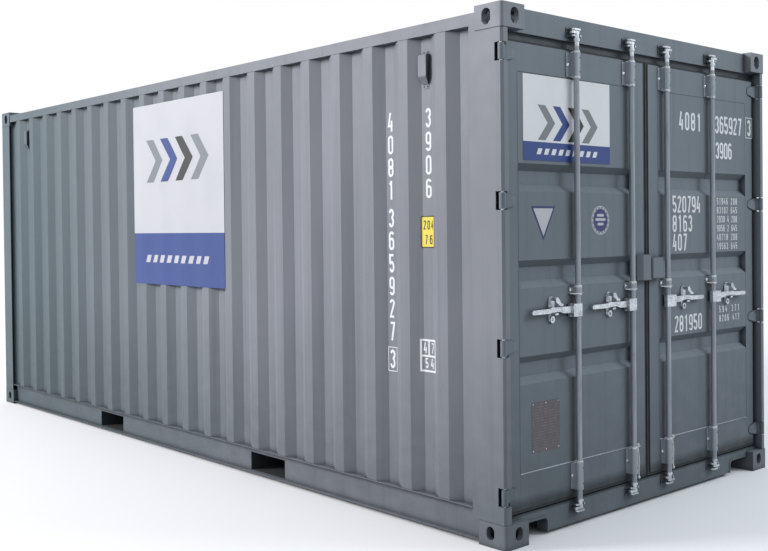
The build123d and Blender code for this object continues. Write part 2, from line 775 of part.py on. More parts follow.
def tie_rope(bar):
    """Short rope that hangs through a hole in a bottom bracket, beside the bar."""
    y = bar + ROPE_OUT
    with BuildPart() as rope:
        with BuildLine() as route:
            rope_route([
                (ROPE_X, y, BRACKETS[2][1] + 2), (ROPE_X, y + 0.2, 300), (3003, y + 5, 262),
                (2999, y + 7, 205), (3001, y + 4, 154)])
        with BuildSketch(Plane(origin=route.line @ 0, z_dir=route.line % 0)):
            Circle(ROPE_R)
        sweep()
    return rope


def locking_bar(number):
    """One bar: tube with collars, two cams and the forged handle hub."""
    y = BAR_Y[number]
    way = -1 if y < 0 else 1
    low = CAM_LOW + CAM_THICK + TINY_GAP
    high = CAM_HIGH - TINY_GAP
    nose = 8
    cam = [
        (10 - CAM_R, -1 - BAR_R), (CAM_REACH - nose, -CAM_HALF), (CAM_REACH, nose - CAM_HALF),
        (CAM_REACH, CAM_HALF - nose), (CAM_REACH - nose, CAM_HALF), (10 - CAM_R, 1 + BAR_R),
        (-1 - BAR_R, CAM_R - 11), (-1 - BAR_R, 11 - CAM_R)]
    with BuildPart() as bar:
        with Locations((BAR_X, y, (low + high) / 2)):
            Cylinder(BAR_R, high - low)
        for z0, z1 in ((130, 142), (2466, 2480)):
            with Locations((BAR_X, y, (z0 + z1) / 2)):
                Cylinder(COLLAR_R, z1 - z0)
        for z0 in (CAM_LOW, CAM_HIGH):
            plan_prism([(BAR_X + v, y + way * u) for u, v in cam], z0, z0 + CAM_THICK)
    with BuildPart() as whole:
        add(bar.part)
        add(handle_hub(y, way).part)
    return whole


def handle_hub(y, way):
    """Forged clevis clamped round the bar, with the pin of the handle."""
    back = 18
    front = 18.5
    far = -19
    slot = LEVER_THICK / 2 + 1
    outline = [
        (far, -10), (far + 8, -back), (HUB_REACH, -back), (HUB_REACH, front),
        (far + 8, front), (far, 10)]
    with BuildPart() as hub:
        plan_prism([(BAR_X + v, y + way * u) for u, v in outline], HUB_LOW, HUB_HIGH)
        block(
            BAR_X - slot, BAR_X + slot, y + way * 23, y + way * (HUB_REACH + 1),
            HUB_LOW, HUB_HIGH, mode=Mode.SUBTRACT)
        with Locations((BAR_X, y, (HUB_LOW + HUB_HIGH) / 2)):
            Cylinder(BAR_R + TINY_GAP, HUB_HIGH - HUB_LOW, mode=Mode.SUBTRACT)
        with BuildSketch(face_plane(BAR_X - slot - 1, y + way * PIVOT, PIVOT_Z)) as pin:
            Circle(PIVOT_R)
        extrude(pin.sketch, amount=2 * (slot + 1))
    return hub


def bar_handle(number):
    """Flat handle that turns on the hub pin and points away from the centre."""
    y = BAR_Y[number]
    way = -1 if y < 0 else 1
    drop = 5
    tip = 8
    eye = 12
    grip = CATCH + 38
    outline = [
        (PIVOT, LEVER_LOW - 12), (CATCH - 62, LEVER_LOW - 9), (CATCH - 34, LEVER_LOW),
        (CATCH + 24, LEVER_LOW), (grip, LEVER_LOW - drop), (LEVER_END - tip, LEVER_LOW - drop),
        (LEVER_END, LEVER_LOW - drop + tip), (LEVER_END, LEVER_HIGH - drop - tip - 2),
        (LEVER_END - tip, LEVER_HIGH - drop - 2), (grip, LEVER_HIGH - drop),
        (CATCH + 24, LEVER_HIGH), (PIVOT, LEVER_HIGH - 2)]
    with BuildPart() as handle:
        with BuildSketch(face_plane(BAR_X - LEVER_THICK / 2)) as side_view:
            with BuildLine():
                Polyline(*[(y + way * a, b) for a, b in outline], close=True)
            make_face()
            with Locations((y + way * PIVOT, PIVOT_Z)):
                Circle(eye)
                Circle(PIVOT_R + PIVOT_PLAY, mode=Mode.SUBTRACT)
        extrude(side_view.sketch, amount=LEVER_THICK)
    return handle


def keepers(top):
    """Four cam keepers: a back plate, a forked jaw and a plain jaw each."""
    if top:
        plate = (2484, 2535)
        fork = 2489
        plain = 2521
    else:
        plate = (75, 125)
        fork = 112
        plain = 80
    back = DOOR_FACE + KEEPER_PLATE
    root = back + TINY_GAP
    slot = KEEPER_SLOT / 2
    half = KEEPER_JAW
    nose = 9
    whole = [
        (root, -half - 6), (KEEPER_FRONT - nose, -half), (KEEPER_FRONT, nose - half),
        (KEEPER_FRONT, half - nose), (KEEPER_FRONT - nose, half), (root, half + 6)]
    prong = [
        (root, slot), (KEEPER_FRONT, slot), (KEEPER_FRONT, half - nose / 2),
        (KEEPER_FRONT - nose, half), (root, half + 6)]
    with BuildPart() as set_of_four:
        for y in BAR_Y:
            block(DOOR_FACE, back, y - KEEPER_HALF, y + KEEPER_HALF, plate[0], plate[1])
            plan_prism([(x, y + v) for x, v in whole], plain, plain + JAW)
            for way in (-1, 1):
                plan_prism([(x, y + way * v) for x, v in prong], fork, fork + JAW)
    return set_of_four


def side_vents():
    """Four covered vents in the side wall hollows."""
    wide = 50
    high = 195
    back = SIDE_INNER_Y + 9
    front = back + 22
    groove = 9
    margin = 8
    with BuildPart() as vents:
        for side in (LEFT, RIGHT):
            for x, low in ((2471, 2237), (-2533, 2226)):
                block(x - wide, x + wide, side * back, side * front, low, low + high)
                for step in range(3):
                    z = low + 22 + step * 58
                    block(
                        x - wide + margin, x + wide - margin, side * front,
                        side * (front - 7), z, z + groove, mode=Mode.SUBTRACT)
    return vents


rear_top_castings = castings(1, True)
rear_top_castings.part.label = "rear_top_castings"
export_step(rear_top_castings.part, "parts/rear_top_castings.step")

rear_bottom_castings = castings(1, False)
rear_bottom_castings.part.label = "rear_bottom_castings"
export_step(rear_bottom_castings.part, "parts/rear_bottom_castings.step")

front_top_castings = castings(-1, True)
front_top_castings.part.label = "front_top_castings"
export_step(front_top_castings.part, "parts/front_top_castings.step")

front_bottom_castings = castings(-1, False)
front_bottom_castings.part.label = "front_bottom_castings"
export_step(front_bottom_castings.part, "parts/front_bottom_castings.step")

rear_left_post = rear_post(LEFT)
rear_left_post.part.label = "rear_left_post"
export_step(rear_left_post.part, "parts/rear_left_post.step")

rear_right_post = rear_post(RIGHT)
rear_right_post.part.label = "rear_right_post"
export_step(rear_right_post.part, "parts/rear_right_post.step")

post_hinge_pins = hinge_pins()
post_hinge_pins.part.label = "hinge_pins"
export_step(post_hinge_pins.part, "parts/hinge_pins.step")

front_corner_posts = front_posts()
front_corner_posts.part.label = "front_posts"
export_step(front_corner_posts.part, "parts/front_posts.step")

top_rails = top_side_rails()
top_rails.part.label = "top_side_rails"
export_step(top_rails.part, "parts/top_side_rails.step")

bottom_rails = bottom_side_rails()
bottom_rails.part.label = "bottom_side_rails"
export_step(bottom_rails.part, "parts/bottom_side_rails.step")

header_beam = door_header()
header_beam.part.label = "door_header"
export_step(header_beam.part, "parts/door_header.step")

sill_beam = door_sill()
sill_beam.part.label = "door_sill"
export_step(sill_beam.part, "parts/door_sill.step")

front_rails = front_end_rails()
front_rails.part.label = "front_end_rails"
export_step(front_rails.part, "parts/front_end_rails.step")

left_side_wall = side_wall(LEFT)
left_side_wall.part.label = "left_side_wall"
export_step(left_side_wall.part, "parts/left_side_wall.step")

right_side_wall = side_wall(RIGHT)
right_side_wall.part.label = "right_side_wall"
export_step(right_side_wall.part, "parts/right_side_wall.step")

front_end_wall = front_wall()
front_end_wall.part.label = "front_wall"
export_step(front_end_wall.part, "parts/front_wall.step")

roof_sheet = roof_panel()
roof_sheet.part.label = "roof_panel"
export_step(roof_sheet.part, "parts/roof_panel.step")

floor_channels = cross_members()
floor_channels.part.label = "cross_members"
export_step(floor_channels.part, "parts/cross_members.step")

pocket_plates = fork_pockets()
pocket_plates.part.label = "fork_pockets"
export_step(pocket_plates.part, "parts/fork_pockets.step")

floor_panels = floor_boards()
floor_panels.part.label = "floor_boards"
export_step(floor_panels.part, "parts/floor_boards.step")

top_keepers = keepers(True)
top_keepers.part.label = "top_keepers"
export_step(top_keepers.part, "parts/top_keepers.step")

bottom_keepers = keepers(False)
bottom_keepers.part.label = "bottom_keepers"
export_step(bottom_keepers.part, "parts/bottom_keepers.step")

wall_vents = side_vents()
wall_vents.part.label = "side_vents"
export_step(wall_vents.part, "parts/side_vents.step")

left_door_frame = door_frame(LEFT)
left_door_frame.part.label = "left_door_frame"
export_step(left_door_frame.part, "parts/left_door_frame.step")

left_door_panel = door_panel(LEFT)
left_door_panel.part.label = "left_door_panel"
export_step(left_door_panel.part, "parts/left_door_panel.step")

left_door_gasket = door_gasket(LEFT)
left_door_gasket.part.label = "left_door_gasket"
export_step(left_door_gasket.part, "parts/left_door_gasket.step")

left_door_hinges = door_hinges(LEFT)
left_door_hinges.part.label = "left_door_hinges"
export_step(left_door_hinges.part, "parts/left_door_hinges.step")

left_lock_box = lock_box(LEFT)
left_lock_box.part.label = "left_lock_box"
export_step(left_lock_box.part, "parts/left_lock_box.step")

left_bar_brackets = bar_brackets(LEFT)
left_bar_brackets.part.label = "left_bar_brackets"
export_step(left_bar_brackets.part, "parts/left_bar_brackets.step")

left_handle_catches = handle_catches(LEFT)
left_handle_catches.part.label = "left_handle_catches"
export_step(left_handle_catches.part, "parts/left_handle_catches.step")

right_door_frame = door_frame(RIGHT)
right_door_frame.part.label = "right_door_frame"
export_step(right_door_frame.part, "parts/right_door_frame.step")

right_door_panel = door_panel(RIGHT)
right_door_panel.part.label = "right_door_panel"
export_step(right_door_panel.part, "parts/right_door_panel.step")

right_door_gasket = door_gasket(RIGHT)
right_door_gasket.part.label = "right_door_gasket"
export_step(right_door_gasket.part, "parts/right_door_gasket.step")

right_door_hinges = door_hinges(RIGHT)
right_door_hinges.part.label = "right_door_hinges"
export_step(right_door_hinges.part, "parts/right_door_hinges.step")

right_lock_box = lock_box(RIGHT)
right_lock_box.part.label = "right_lock_box"
export_step(right_lock_box.part, "parts/right_lock_box.step")

right_bar_brackets = bar_brackets(RIGHT)
right_bar_brackets.part.label = "right_bar_brackets"
export_step(right_bar_brackets.part, "parts/right_bar_brackets.step")

right_handle_catches = handle_catches(RIGHT)
right_handle_catches.part.label = "right_handle_catches"
export_step(right_handle_catches.part, "parts/right_handle_catches.step")

left_tie_rope = tie_rope(BAR_Y[1])
left_tie_rope.part.label = "left_tie_rope"
export_step(left_tie_rope.part, "parts/left_tie_rope.step")

right_tie_rope = tie_rope(BAR_Y[2])
right_tie_rope.part.label = "right_tie_rope"
export_step(right_tie_rope.part, "parts/right_tie_rope.step")

locking_bar_1 = locking_bar(0)
locking_bar_1.part.label = "locking_bar_1"
export_step(locking_bar_1.part, "parts/locking_bar_1.step")

locking_bar_2 = locking_bar(1)
locking_bar_2.part.label = "locking_bar_2"
export_step(locking_bar_2.part, "parts/locking_bar_2.step")

locking_bar_3 = locking_bar(2)
locking_bar_3.part.label = "locking_bar_3"
export_step(locking_bar_3.part, "parts/locking_bar_3.step")

locking_bar_4 = locking_bar(3)
locking_bar_4.part.label = "locking_bar_4"
export_step(locking_bar_4.part, "parts/locking_bar_4.step")

bar_handle_1 = bar_handle(0)
bar_handle_1.part.label = "bar_handle_1"
export_step(bar_handle_1.part, "parts/bar_handle_1.step")

bar_handle_2 = bar_handle(1)
bar_handle_2.part.label = "bar_handle_2"
export_step(bar_handle_2.part, "parts/bar_handle_2.step")

bar_handle_3 = bar_handle(2)
bar_handle_3.part.label = "bar_handle_3"
export_step(bar_handle_3.part, "parts/bar_handle_3.step")

bar_handle_4 = bar_handle(3)
bar_handle_4.part.label = "bar_handle_4"
export_step(bar_handle_4.part, "parts/bar_handle_4.step")
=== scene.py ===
# %% [markdown]
# # A freight container, dressed in Blender
#
# The steel box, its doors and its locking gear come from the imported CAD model, which
# stays as it is. Here each surface gets its finish, and the small things are added that
# are too fine for the CAD model: rivets, weld beads, painted digits and vinyl signs.

import json
import math

import bmesh
import bpy
from mathutils import Matrix, Vector


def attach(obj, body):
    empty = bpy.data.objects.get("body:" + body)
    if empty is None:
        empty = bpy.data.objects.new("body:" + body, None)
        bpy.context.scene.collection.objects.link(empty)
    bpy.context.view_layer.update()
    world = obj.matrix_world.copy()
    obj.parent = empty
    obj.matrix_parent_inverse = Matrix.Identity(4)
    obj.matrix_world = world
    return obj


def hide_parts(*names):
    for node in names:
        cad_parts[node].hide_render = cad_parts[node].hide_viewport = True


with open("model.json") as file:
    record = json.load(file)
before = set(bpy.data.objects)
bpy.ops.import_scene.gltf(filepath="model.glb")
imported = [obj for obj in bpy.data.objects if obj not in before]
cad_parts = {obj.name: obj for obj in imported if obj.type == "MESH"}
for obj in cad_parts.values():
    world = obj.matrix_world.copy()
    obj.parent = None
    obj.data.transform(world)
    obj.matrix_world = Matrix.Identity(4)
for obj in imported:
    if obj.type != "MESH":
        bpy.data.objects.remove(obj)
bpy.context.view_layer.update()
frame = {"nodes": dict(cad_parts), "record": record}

# %% [markdown]
# ## Units and colours
#
# Drawings of a container are in millimetres and Blender works in metres, so one helper
# turns the first into the second. Colours are written as sRGB hex values, as a paint
# chart gives them, and another helper makes them linear for the shaders.

# %% Helpers for units and colours
MM = 0.001


def mm(*values):
    """Millimetres to metres, as a vector or a single number."""
    scaled = [value * MM for value in values]
    return scaled[0] if len(scaled) == 1 else Vector(scaled)


def hex_colour(code):
    """An sRGB hex colour as the linear value a shader takes."""
    channels = [int(code[i:i + 2], 16) / 255 for i in (1, 3, 5)]
    linear = [c / 12.92 if c <= 0.04045 else ((c + 0.055) / 1.055) ** 2.4 for c in channels]
    return (*linear, 1.0)


print("middle grey, linear:", [round(c, 3) for c in hex_colour("#808080")])

# %% [markdown]
# ## The camera
#
# The picture was taken about three metres past the door end and three and a half out
# from the long side, a little lower than a standing person's eye. The camera's
# place was worked out from the container's own corners, which have known distances. The
# small shift stands for a picture that was cut out of a larger one.

# %% Camera
CAMERA_PLACE = mm(6277, -4810, 1533)
CAMERA_AZIMUTH = math.radians(47.46)
CAMERA_RISE = math.radians(0.79)
CAMERA_ROLL = math.radians(-0.59)
PICTURE_WIDE = 768
PICTURE_HIGH = 551
FOCAL_PIXELS = 1029.3
CENTRE_U = 407.6
CENTRE_V = 241.6
SENSOR_WIDE = 36


def camera_axes(azimuth, rise, roll):
    """Right, up and backward directions of a camera, as matrix columns."""
    back = Vector((
        math.sin(azimuth) * math.cos(rise), -math.cos(azimuth) * math.cos(rise),
        math.sin(rise)))
    right = Vector((math.cos(azimuth), math.sin(azimuth), 0))
    up = back.cross(right)
    rolled_right = right * math.cos(roll) + up * math.sin(roll)
    rolled_up = up * math.cos(roll) - right * math.sin(roll)
    return Matrix((rolled_right, rolled_up, back)).transposed()


lens = bpy.data.cameras.new("camera")
lens.sensor_width = SENSOR_WIDE
lens.lens = FOCAL_PIXELS / PICTURE_WIDE * SENSOR_WIDE
lens.shift_x = (PICTURE_WIDE / 2 - CENTRE_U) / PICTURE_WIDE
lens.shift_y = (CENTRE_V - PICTURE_HIGH / 2) / PICTURE_WIDE
lens.clip_end = 200
camera = bpy.data.objects.new("camera", lens)
turn = camera_axes(CAMERA_AZIMUTH, CAMERA_RISE, CAMERA_ROLL).to_4x4()
camera.matrix_world = Matrix.Translation(CAMERA_PLACE) @ turn
bpy.context.scene.collection.objects.link(camera)
bpy.context.scene.camera = camera
bpy.context.scene.view_settings.view_transform = "Standard"
print("lens", round(lens.lens, 2), "mm, shift", round(lens.shift_x, 4), round(lens.shift_y, 4))

# %% [markdown]
# ## Shader nodes
#
# Every finish below is a small tree of nodes. One function adds a node, sets what it is
# given and links the sockets it is given, so that a finish reads from its pattern to its
# shader, line by line. Positions come from object coordinates, which are the container's
# own metres, so the scale of each pattern is one over a real length.

# %% Helpers for shader nodes
def add(tree, kind, inputs=None, **settings):
    """A node with its settings, and each input as a value or a link."""
    node = tree.nodes.new(kind)
    for name, value in settings.items():
        setattr(node, name, value)
    for socket, value in (inputs or {}).items():
        if isinstance(value, bpy.types.NodeSocket):
            tree.links.new(value, node.inputs[socket])
        else:
            node.inputs[socket].default_value = value
    return node


def new_finish(name):
    """A new material, with its tree, its object coordinates and its shader."""
    material = bpy.data.materials.new(name)
    material.use_nodes = True
    tree = material.node_tree
    tree.nodes.clear()
    place = add(tree, "ShaderNodeTexCoord").outputs["Object"]
    shader = add(tree, "ShaderNodeBsdfPrincipled")
    add(tree, "ShaderNodeOutputMaterial", {"Surface": shader.outputs["BSDF"]})
    return material, tree, place, shader


def per_mm(length):
    """Pattern scale for a feature of this length in millimetres."""
    return 1 / (length * MM)


def stretched(tree, place, x_mm, y_mm, z_mm):
    """Coordinates in which one unit is the given length along each axis."""
    scale = (per_mm(x_mm), per_mm(y_mm), per_mm(z_mm))
    return add(tree, "ShaderNodeMapping", {"Vector": place, "Scale": scale}).outputs["Vector"]


def noise(tree, where, detail=2.0, roughness=0.5):
    """Noise value at the given coordinates."""
    inputs = {"Vector": where, "Scale": 1.0, "Detail": detail, "Roughness": roughness}
    return add(tree, "ShaderNodeTexNoise", inputs).outputs["Fac"]


def spread(tree, value, low, high, to_low=0.0, to_high=1.0):
    """The value moved from one range to another, and held inside it."""
    inputs = {
        "Value": value, "From Min": low, "From Max": high,
        "To Min": to_low, "To Max": to_high}
    return add(tree, "ShaderNodeMapRange", inputs, clamp=True).outputs["Result"]


def sums(tree, operation, first, second):
    """Arithmetic on two values."""
    node = add(tree, "ShaderNodeMath", operation=operation)
    for socket, value in zip(node.inputs, (first, second)):
        if isinstance(value, bpy.types.NodeSocket):
            tree.links.new(value, socket)
        else:
            socket.default_value = value
    return node.outputs["Value"]


def tint(tree, amount, first, second):
    """Two colours mixed by an amount. For colours the node's sockets are 0, 6 and 7."""
    node = add(tree, "ShaderNodeMix", data_type="RGBA")
    for index, value in ((0, amount), (6, first), (7, second)):
        if isinstance(value, bpy.types.NodeSocket):
            tree.links.new(value, node.inputs[index])
        else:
            node.inputs[index].default_value = value
    return node.outputs[2]


def set_shader(tree, shader, **values):
    """Shader sockets, each as a value or a link. An underscore stands for a space."""
    for name, value in values.items():
        socket = shader.inputs[name.replace("_", " ")]
        if isinstance(value, bpy.types.NodeSocket):
            tree.links.new(value, socket)
        else:
            socket.default_value = value


def relief(tree, height, depth_mm, before=None):
    """Bump from a height pattern that is depth_mm deep."""
    inputs = {"Height": height, "Distance": mm(depth_mm), "Strength": 1.0}
    if before is not None:
        inputs["Normal"] = before
    return add(tree, "ShaderNodeBump", inputs).outputs["Normal"]


def height_bands(tree, height, runs, soft=1):
    """One inside any of these height runs in millimetres, and zero outside them."""
    total = 0.0
    for low, high in runs:
        above = spread(tree, height, mm(low - soft), mm(low + soft))
        below = spread(tree, height, mm(high - soft), mm(high + soft), 1.0, 0.0)
        total = sums(tree, "MAXIMUM", sums(tree, "MULTIPLY", above, below), total)
    return total


print("helpers ready, pattern scale for 10 mm:", per_mm(10))

# %% [markdown]
# ## Paint on weathering steel
#
# The box is sprayed with a grey two-pack enamel over zinc primer. To the eye it is a
# satin surface with a faint orange peel. Years at sea have left it a little chalky, with
# soft vertical runs where rain comes down the sheets and small dark chips. It turns darker
# and greener towards the closed end. Painted shade darkens it low on the walls, and in
# corners and round hinges, where a surface sees little of the open sky. One function makes
# the paint for sheet, door and cast pieces, which are sprayed in one go and differ in how
# rough the steel under the paint is and in painted shade: the doors, header and sill take
# a darker, greener copy of the wall paint. Painted shadow lies on the header's lip, the
# door sill and the foot of the doors.

# %% Enamel paint
WALL_PAINT = ("#7B8087", "#888C94")
# The doors, header and sill take a darker, greener copy of the wall paint: painted shade.
SHADED_DOOR_PAINT = ("#6D777E", "#78818A")
PAINT_DAMP = "#5F686E"
# Darker and greener towards the closed end.
CLOSED_END_TONE = "#4F6166"
# Painted shade low on the walls and doors.
LOW_SHADE_GREY = "#3F4A4D"
# Dark grey for painted shade and shadow: in corners, on the header's lip, at the sill and at the doors'
# foot.
PAINTED_SHADE = "#23292C"
CHIP_RUST = "#4A3A31"
CORNER_REACH = 45


def enamel(name, steel_mm, steel_depth, wave_depth, paint=WALL_PAINT, shadow_bands=(), soft=3):
    """Satin enamel over steel with the given grain length and depth."""
    material, tree, place, shader = new_finish(name)
    apart = add(tree, "ShaderNodeSeparateXYZ", {"Vector": place})
    along, height = apart.outputs["X"], apart.outputs["Z"]
    cloud = noise(tree, stretched(tree, place, 900, 900, 1300), detail=3)
    runs = noise(tree, stretched(tree, place, 45, 45, 1600), detail=4)
    shade = tint(tree, spread(tree, cloud, 0.3, 0.7), *map(hex_colour, paint))
    damp = spread(tree, runs, 0.52, 0.78, 0.0, 0.42)
    shade = tint(tree, damp, shade, hex_colour(PAINT_DAMP))
    # Darker and greener towards the closed end.
    shade = tint(tree, spread(tree, along, 1.0, -2.2, 0.0, 0.85), shade, hex_colour(CLOSED_END_TONE))
    patchy = noise(tree, stretched(tree, place, 120, 120, 90), detail=5)
    # Painted shade low down: film is its amount, darker towards the bottom and patchy.
    low_down = spread(tree, height, 0.1, 1.1, 0.5, 0.0)
    film = sums(tree, "MULTIPLY", low_down, spread(tree, patchy, 0.2, 0.6, 0.6, 1.0))
    shade = tint(tree, film, shade, hex_colour(LOW_SHADE_GREY))
    # Painted shadow in the given height bands: black is its amount.
    if shadow_bands:
        black = height_bands(tree, height, shadow_bands, soft)
        black = sums(tree, "MULTIPLY", black, spread(tree, patchy, 0.2, 0.7, 0.65, 0.95))
        shade = tint(tree, black, shade, hex_colour(PAINTED_SHADE))
    specks = noise(tree, stretched(tree, place, 14, 14, 14), detail=4, roughness=0.6)
    chips = spread(tree, specks, 0.735, 0.76)
    shade = tint(tree, chips, shade, hex_colour(CHIP_RUST))
    # Painted shade in corners, creases and round hinges, from ambient occlusion.
    open_sky = add(
        tree, "ShaderNodeAmbientOcclusion", {"Distance": mm(CORNER_REACH)}, samples=6).outputs["AO"]
    shade = tint(tree, spread(tree, open_sky, 0.35, 0.85, 0.85, 0.0), shade, hex_colour(PAINTED_SHADE))
    gloss = spread(tree, patchy, 0.2, 0.8, 0.46, 0.6)
    wave = noise(tree, stretched(tree, place, 260, 260, 420), detail=1)
    grain = noise(tree, stretched(tree, place, steel_mm, steel_mm, steel_mm), detail=3)
    bump = relief(tree, wave, wave_depth)
    bump = relief(tree, grain, steel_depth, bump)
    set_shader(
        tree, shader, Base_Color=shade, Roughness=gloss, Normal=bump, IOR=1.5,
        Specular_IOR_Level=0.35)
    return material


sheet_enamel = enamel("sprayed_enamel_on_sheet", 3.5, 0.05, 2.4)
cast_enamel = enamel("sprayed_enamel_on_cast_steel", 9, 0.5, 0.6)
# Header and sill: the darker door paint, with painted shadow on the header's lip and on the sill.
enamel_with_painted_shadow = enamel(
    "enamel_with_painted_shadow_on_pressed_steel", 3.5, 0.05, 1.2, SHADED_DOOR_PAINT, ((2420, 2466), (128, 190)))
# Doors: the darker door paint, with a soft painted shadow at their foot.
door_enamel = enamel("sprayed_enamel_on_doors", 3.5, 0.05, 2.0, SHADED_DOOR_PAINT, ((120, 200),), soft=22)
print("paints:", sheet_enamel.name, cast_enamel.name, enamel_with_painted_shadow.name, door_enamel.name)

# %% [markdown]
# ## Hot-dip galvanised steel
#
# Handles, hubs, cams and keepers are dipped in zinc. It gives a pale grey metal with soft
# crystals a few millimetres wide and uneven gloss. A Voronoi pattern gives each crystal
# its own brightness. The bars and their brackets have a thin coat of paint over the
# zinc, so they are a duller grey than the handles, but at cams, hubs and flange rims the
# coat is worn off. The keepers are painted with the box, and only their tips are bare.

# %% Zinc finishes
ZINC_BRIGHT = "#D3D8DD"
ZINC_DULL = "#979EA5"
COAT_DARK = "#8C939C"
COAT_LIGHT = "#ABB2BB"
COAT_STAIN = "#7D848B"
KEEPER_PAINT = "#474F55"
CRYSTAL_WIDE = 7
TIP_START = 3008
TIP_FADE = 4
BAR_WORN = ((50, 143), (1074, 1139), (2440, 2560))
BRACKET_WORN = ((2281, 2288), (2407, 2414), (1185, 1192), (1221, 1228), (327, 334))


def zinc_pattern(tree, place):
    """Crystals, each with its own brightness, over a soft mottle."""
    where = stretched(tree, place, CRYSTAL_WIDE, CRYSTAL_WIDE, CRYSTAL_WIDE)
    crystal = add(tree, "ShaderNodeTexVoronoi", {"Vector": where, "Scale": 1.0})
    one = add(tree, "ShaderNodeSeparateColor", {"Color": crystal.outputs["Color"]})
    mottle = noise(tree, stretched(tree, place, 40, 40, 40), detail=3)
    mixed = sums(tree, "ADD", sums(tree, "MULTIPLY", one.outputs[0], 0.45), mottle)
    return spread(tree, mixed, 0.35, 1.0)


def galvanised(name, painted_behind=None):
    """Zinc coat, with paint on what lies nearer to the door than painted_behind."""
    material, tree, place, shader = new_finish(name)
    grade = zinc_pattern(tree, place)
    shade = tint(tree, grade, hex_colour(ZINC_DULL), hex_colour(ZINC_BRIGHT))
    metal, gloss = 1.0, spread(tree, grade, 0, 1, 0.46, 0.30)
    if painted_behind:
        along = add(tree, "ShaderNodeSeparateXYZ", {"Vector": place}).outputs["X"]
        metal = spread(tree, along, mm(painted_behind - TIP_FADE), mm(painted_behind + TIP_FADE))
        shade = tint(tree, metal, hex_colour(KEEPER_PAINT), shade)
    ripple = noise(tree, stretched(tree, place, 11, 11, 11), detail=2)
    set_shader(
        tree, shader, Base_Color=shade, Metallic=metal, Roughness=gloss,
        Normal=relief(tree, ripple, 0.25))
    return material


def coated(name, bare):
    """Grey coat over drawn steel, worn to streaks, with bare zinc in height runs."""
    material, tree, place, shader = new_finish(name)
    height = add(tree, "ShaderNodeSeparateXYZ", {"Vector": place}).outputs["Z"]
    streak = noise(tree, stretched(tree, place, 6, 6, 240), detail=3)
    patch = noise(tree, stretched(tree, place, 60, 60, 110), detail=4)
    shade = tint(tree, spread(tree, streak, 0.35, 0.7), hex_colour(COAT_DARK), hex_colour(COAT_LIGHT))
    shade = tint(tree, spread(tree, patch, 0.6, 0.75, 0, 0.5), shade, hex_colour(COAT_STAIN))
    zinc = tint(tree, zinc_pattern(tree, place), hex_colour(ZINC_DULL), hex_colour(ZINC_BRIGHT))
    worn = height_bands(tree, height, bare)
    set_shader(
        tree, shader, Base_Color=tint(tree, worn, shade, zinc),
        Metallic=spread(tree, worn, 0, 1, 0.25, 1.0),
        Roughness=spread(tree, patch, 0.3, 0.7, 0.34, 0.48),
        Normal=relief(tree, streak, 0.06))
    return material


bright_zinc = galvanised("hot_dipped_zinc")
keeper_steel = galvanised("painted_cast_steel_with_worn_tips", painted_behind=TIP_START)
bar_coat = coated("grey_coat_on_drawn_tube", BAR_WORN)
bracket_coat = coated("grey_coat_on_pressed_bracket", BRACKET_WORN)
print("zinc:", bright_zinc.name, keeper_steel.name, bar_coat.name, bracket_coat.name)

# %% [markdown]
# ## Rubber, rope, floor and underside
#
# The door seal is black EPDM rubber, extruded, so it is matte with fine lines along it.
# The tie-back rope is a white twisted polypropylene line. The floor is plywood, oiled and
# scuffed. Under the floor everything is sprayed with a thick black bitumen coat that has
# a lumpy surface.

# %% Rubber, rope, plywood and bitumen
RUBBER_BLACK, RUBBER_DUST = "#1B1F22", "#3A3F42"
YARN_WHITE, YARN_DUST = "#F4F5F3", "#C9C9C2"
DECK_DARK, DECK_LIGHT, DECK_SCUFF = "#6B4A30", "#94714C", "#4B3A2C"
BITUMEN_DARK, BITUMEN_LIGHT = "#24282A", "#3B4042"


def seal_rubber():
    """Extruded black rubber with dust in its pores."""
    material, tree, place, shader = new_finish("extruded_seal_rubber")
    dust = noise(tree, stretched(tree, place, 30, 30, 80), detail=4)
    dusty = spread(tree, dust, 0.45, 0.75, 0, 0.5)
    shade = tint(tree, dusty, hex_colour(RUBBER_BLACK), hex_colour(RUBBER_DUST))
    set_shader(
        tree, shader, Base_Color=shade, Roughness=0.72,
        Normal=relief(tree, dust, 0.3))
    return material


def twisted_rope():
    """White polypropylene yarn, a little dusty."""
    material, tree, place, shader = new_finish("twisted_polypropylene")
    yarn = noise(tree, stretched(tree, place, 1.2, 1.2, 6), detail=3)
    dust = noise(tree, stretched(tree, place, 25, 25, 40), detail=3)
    dusty = spread(tree, dust, 0.55, 0.85, 0, 0.5)
    shade = tint(tree, dusty, hex_colour(YARN_WHITE), hex_colour(YARN_DUST))
    set_shader(
        tree, shader, Base_Color=shade, Roughness=0.55, Normal=relief(tree, yarn, 0.3))
    return material


def deck_plywood():
    """Oiled plywood deck: grain along the length, scuffs from wheels."""
    material, tree, place, shader = new_finish("oiled_deck_plywood")
    grain = noise(tree, stretched(tree, place, 420, 7, 7), detail=5)
    scuff = noise(tree, stretched(tree, place, 700, 120, 120), detail=4)
    shade = tint(tree, spread(tree, grain, 0.3, 0.7), hex_colour(DECK_DARK), hex_colour(DECK_LIGHT))
    shade = tint(tree, spread(tree, scuff, 0.5, 0.75, 0, 0.6), shade, hex_colour(DECK_SCUFF))
    set_shader(
        tree, shader, Base_Color=shade, Roughness=spread(tree, scuff, 0.3, 0.7, 0.45, 0.65),
        Normal=relief(tree, grain, 0.4))
    return material


def bitumen():
    """Thick sprayed underside coat."""
    material, tree, place, shader = new_finish("sprayed_bitumen")
    lumps = noise(tree, stretched(tree, place, 18, 18, 18), detail=5)
    shade = tint(tree, lumps, hex_colour(BITUMEN_DARK), hex_colour(BITUMEN_LIGHT))
    set_shader(
        tree, shader, Base_Color=shade, Roughness=0.66, Normal=relief(tree, lumps, 1.5))
    return material


rubber = seal_rubber()
rope = twisted_rope()
plywood = deck_plywood()
underseal = bitumen()
print("more finishes:", rubber.name, rope.name, plywood.name, underseal.name)

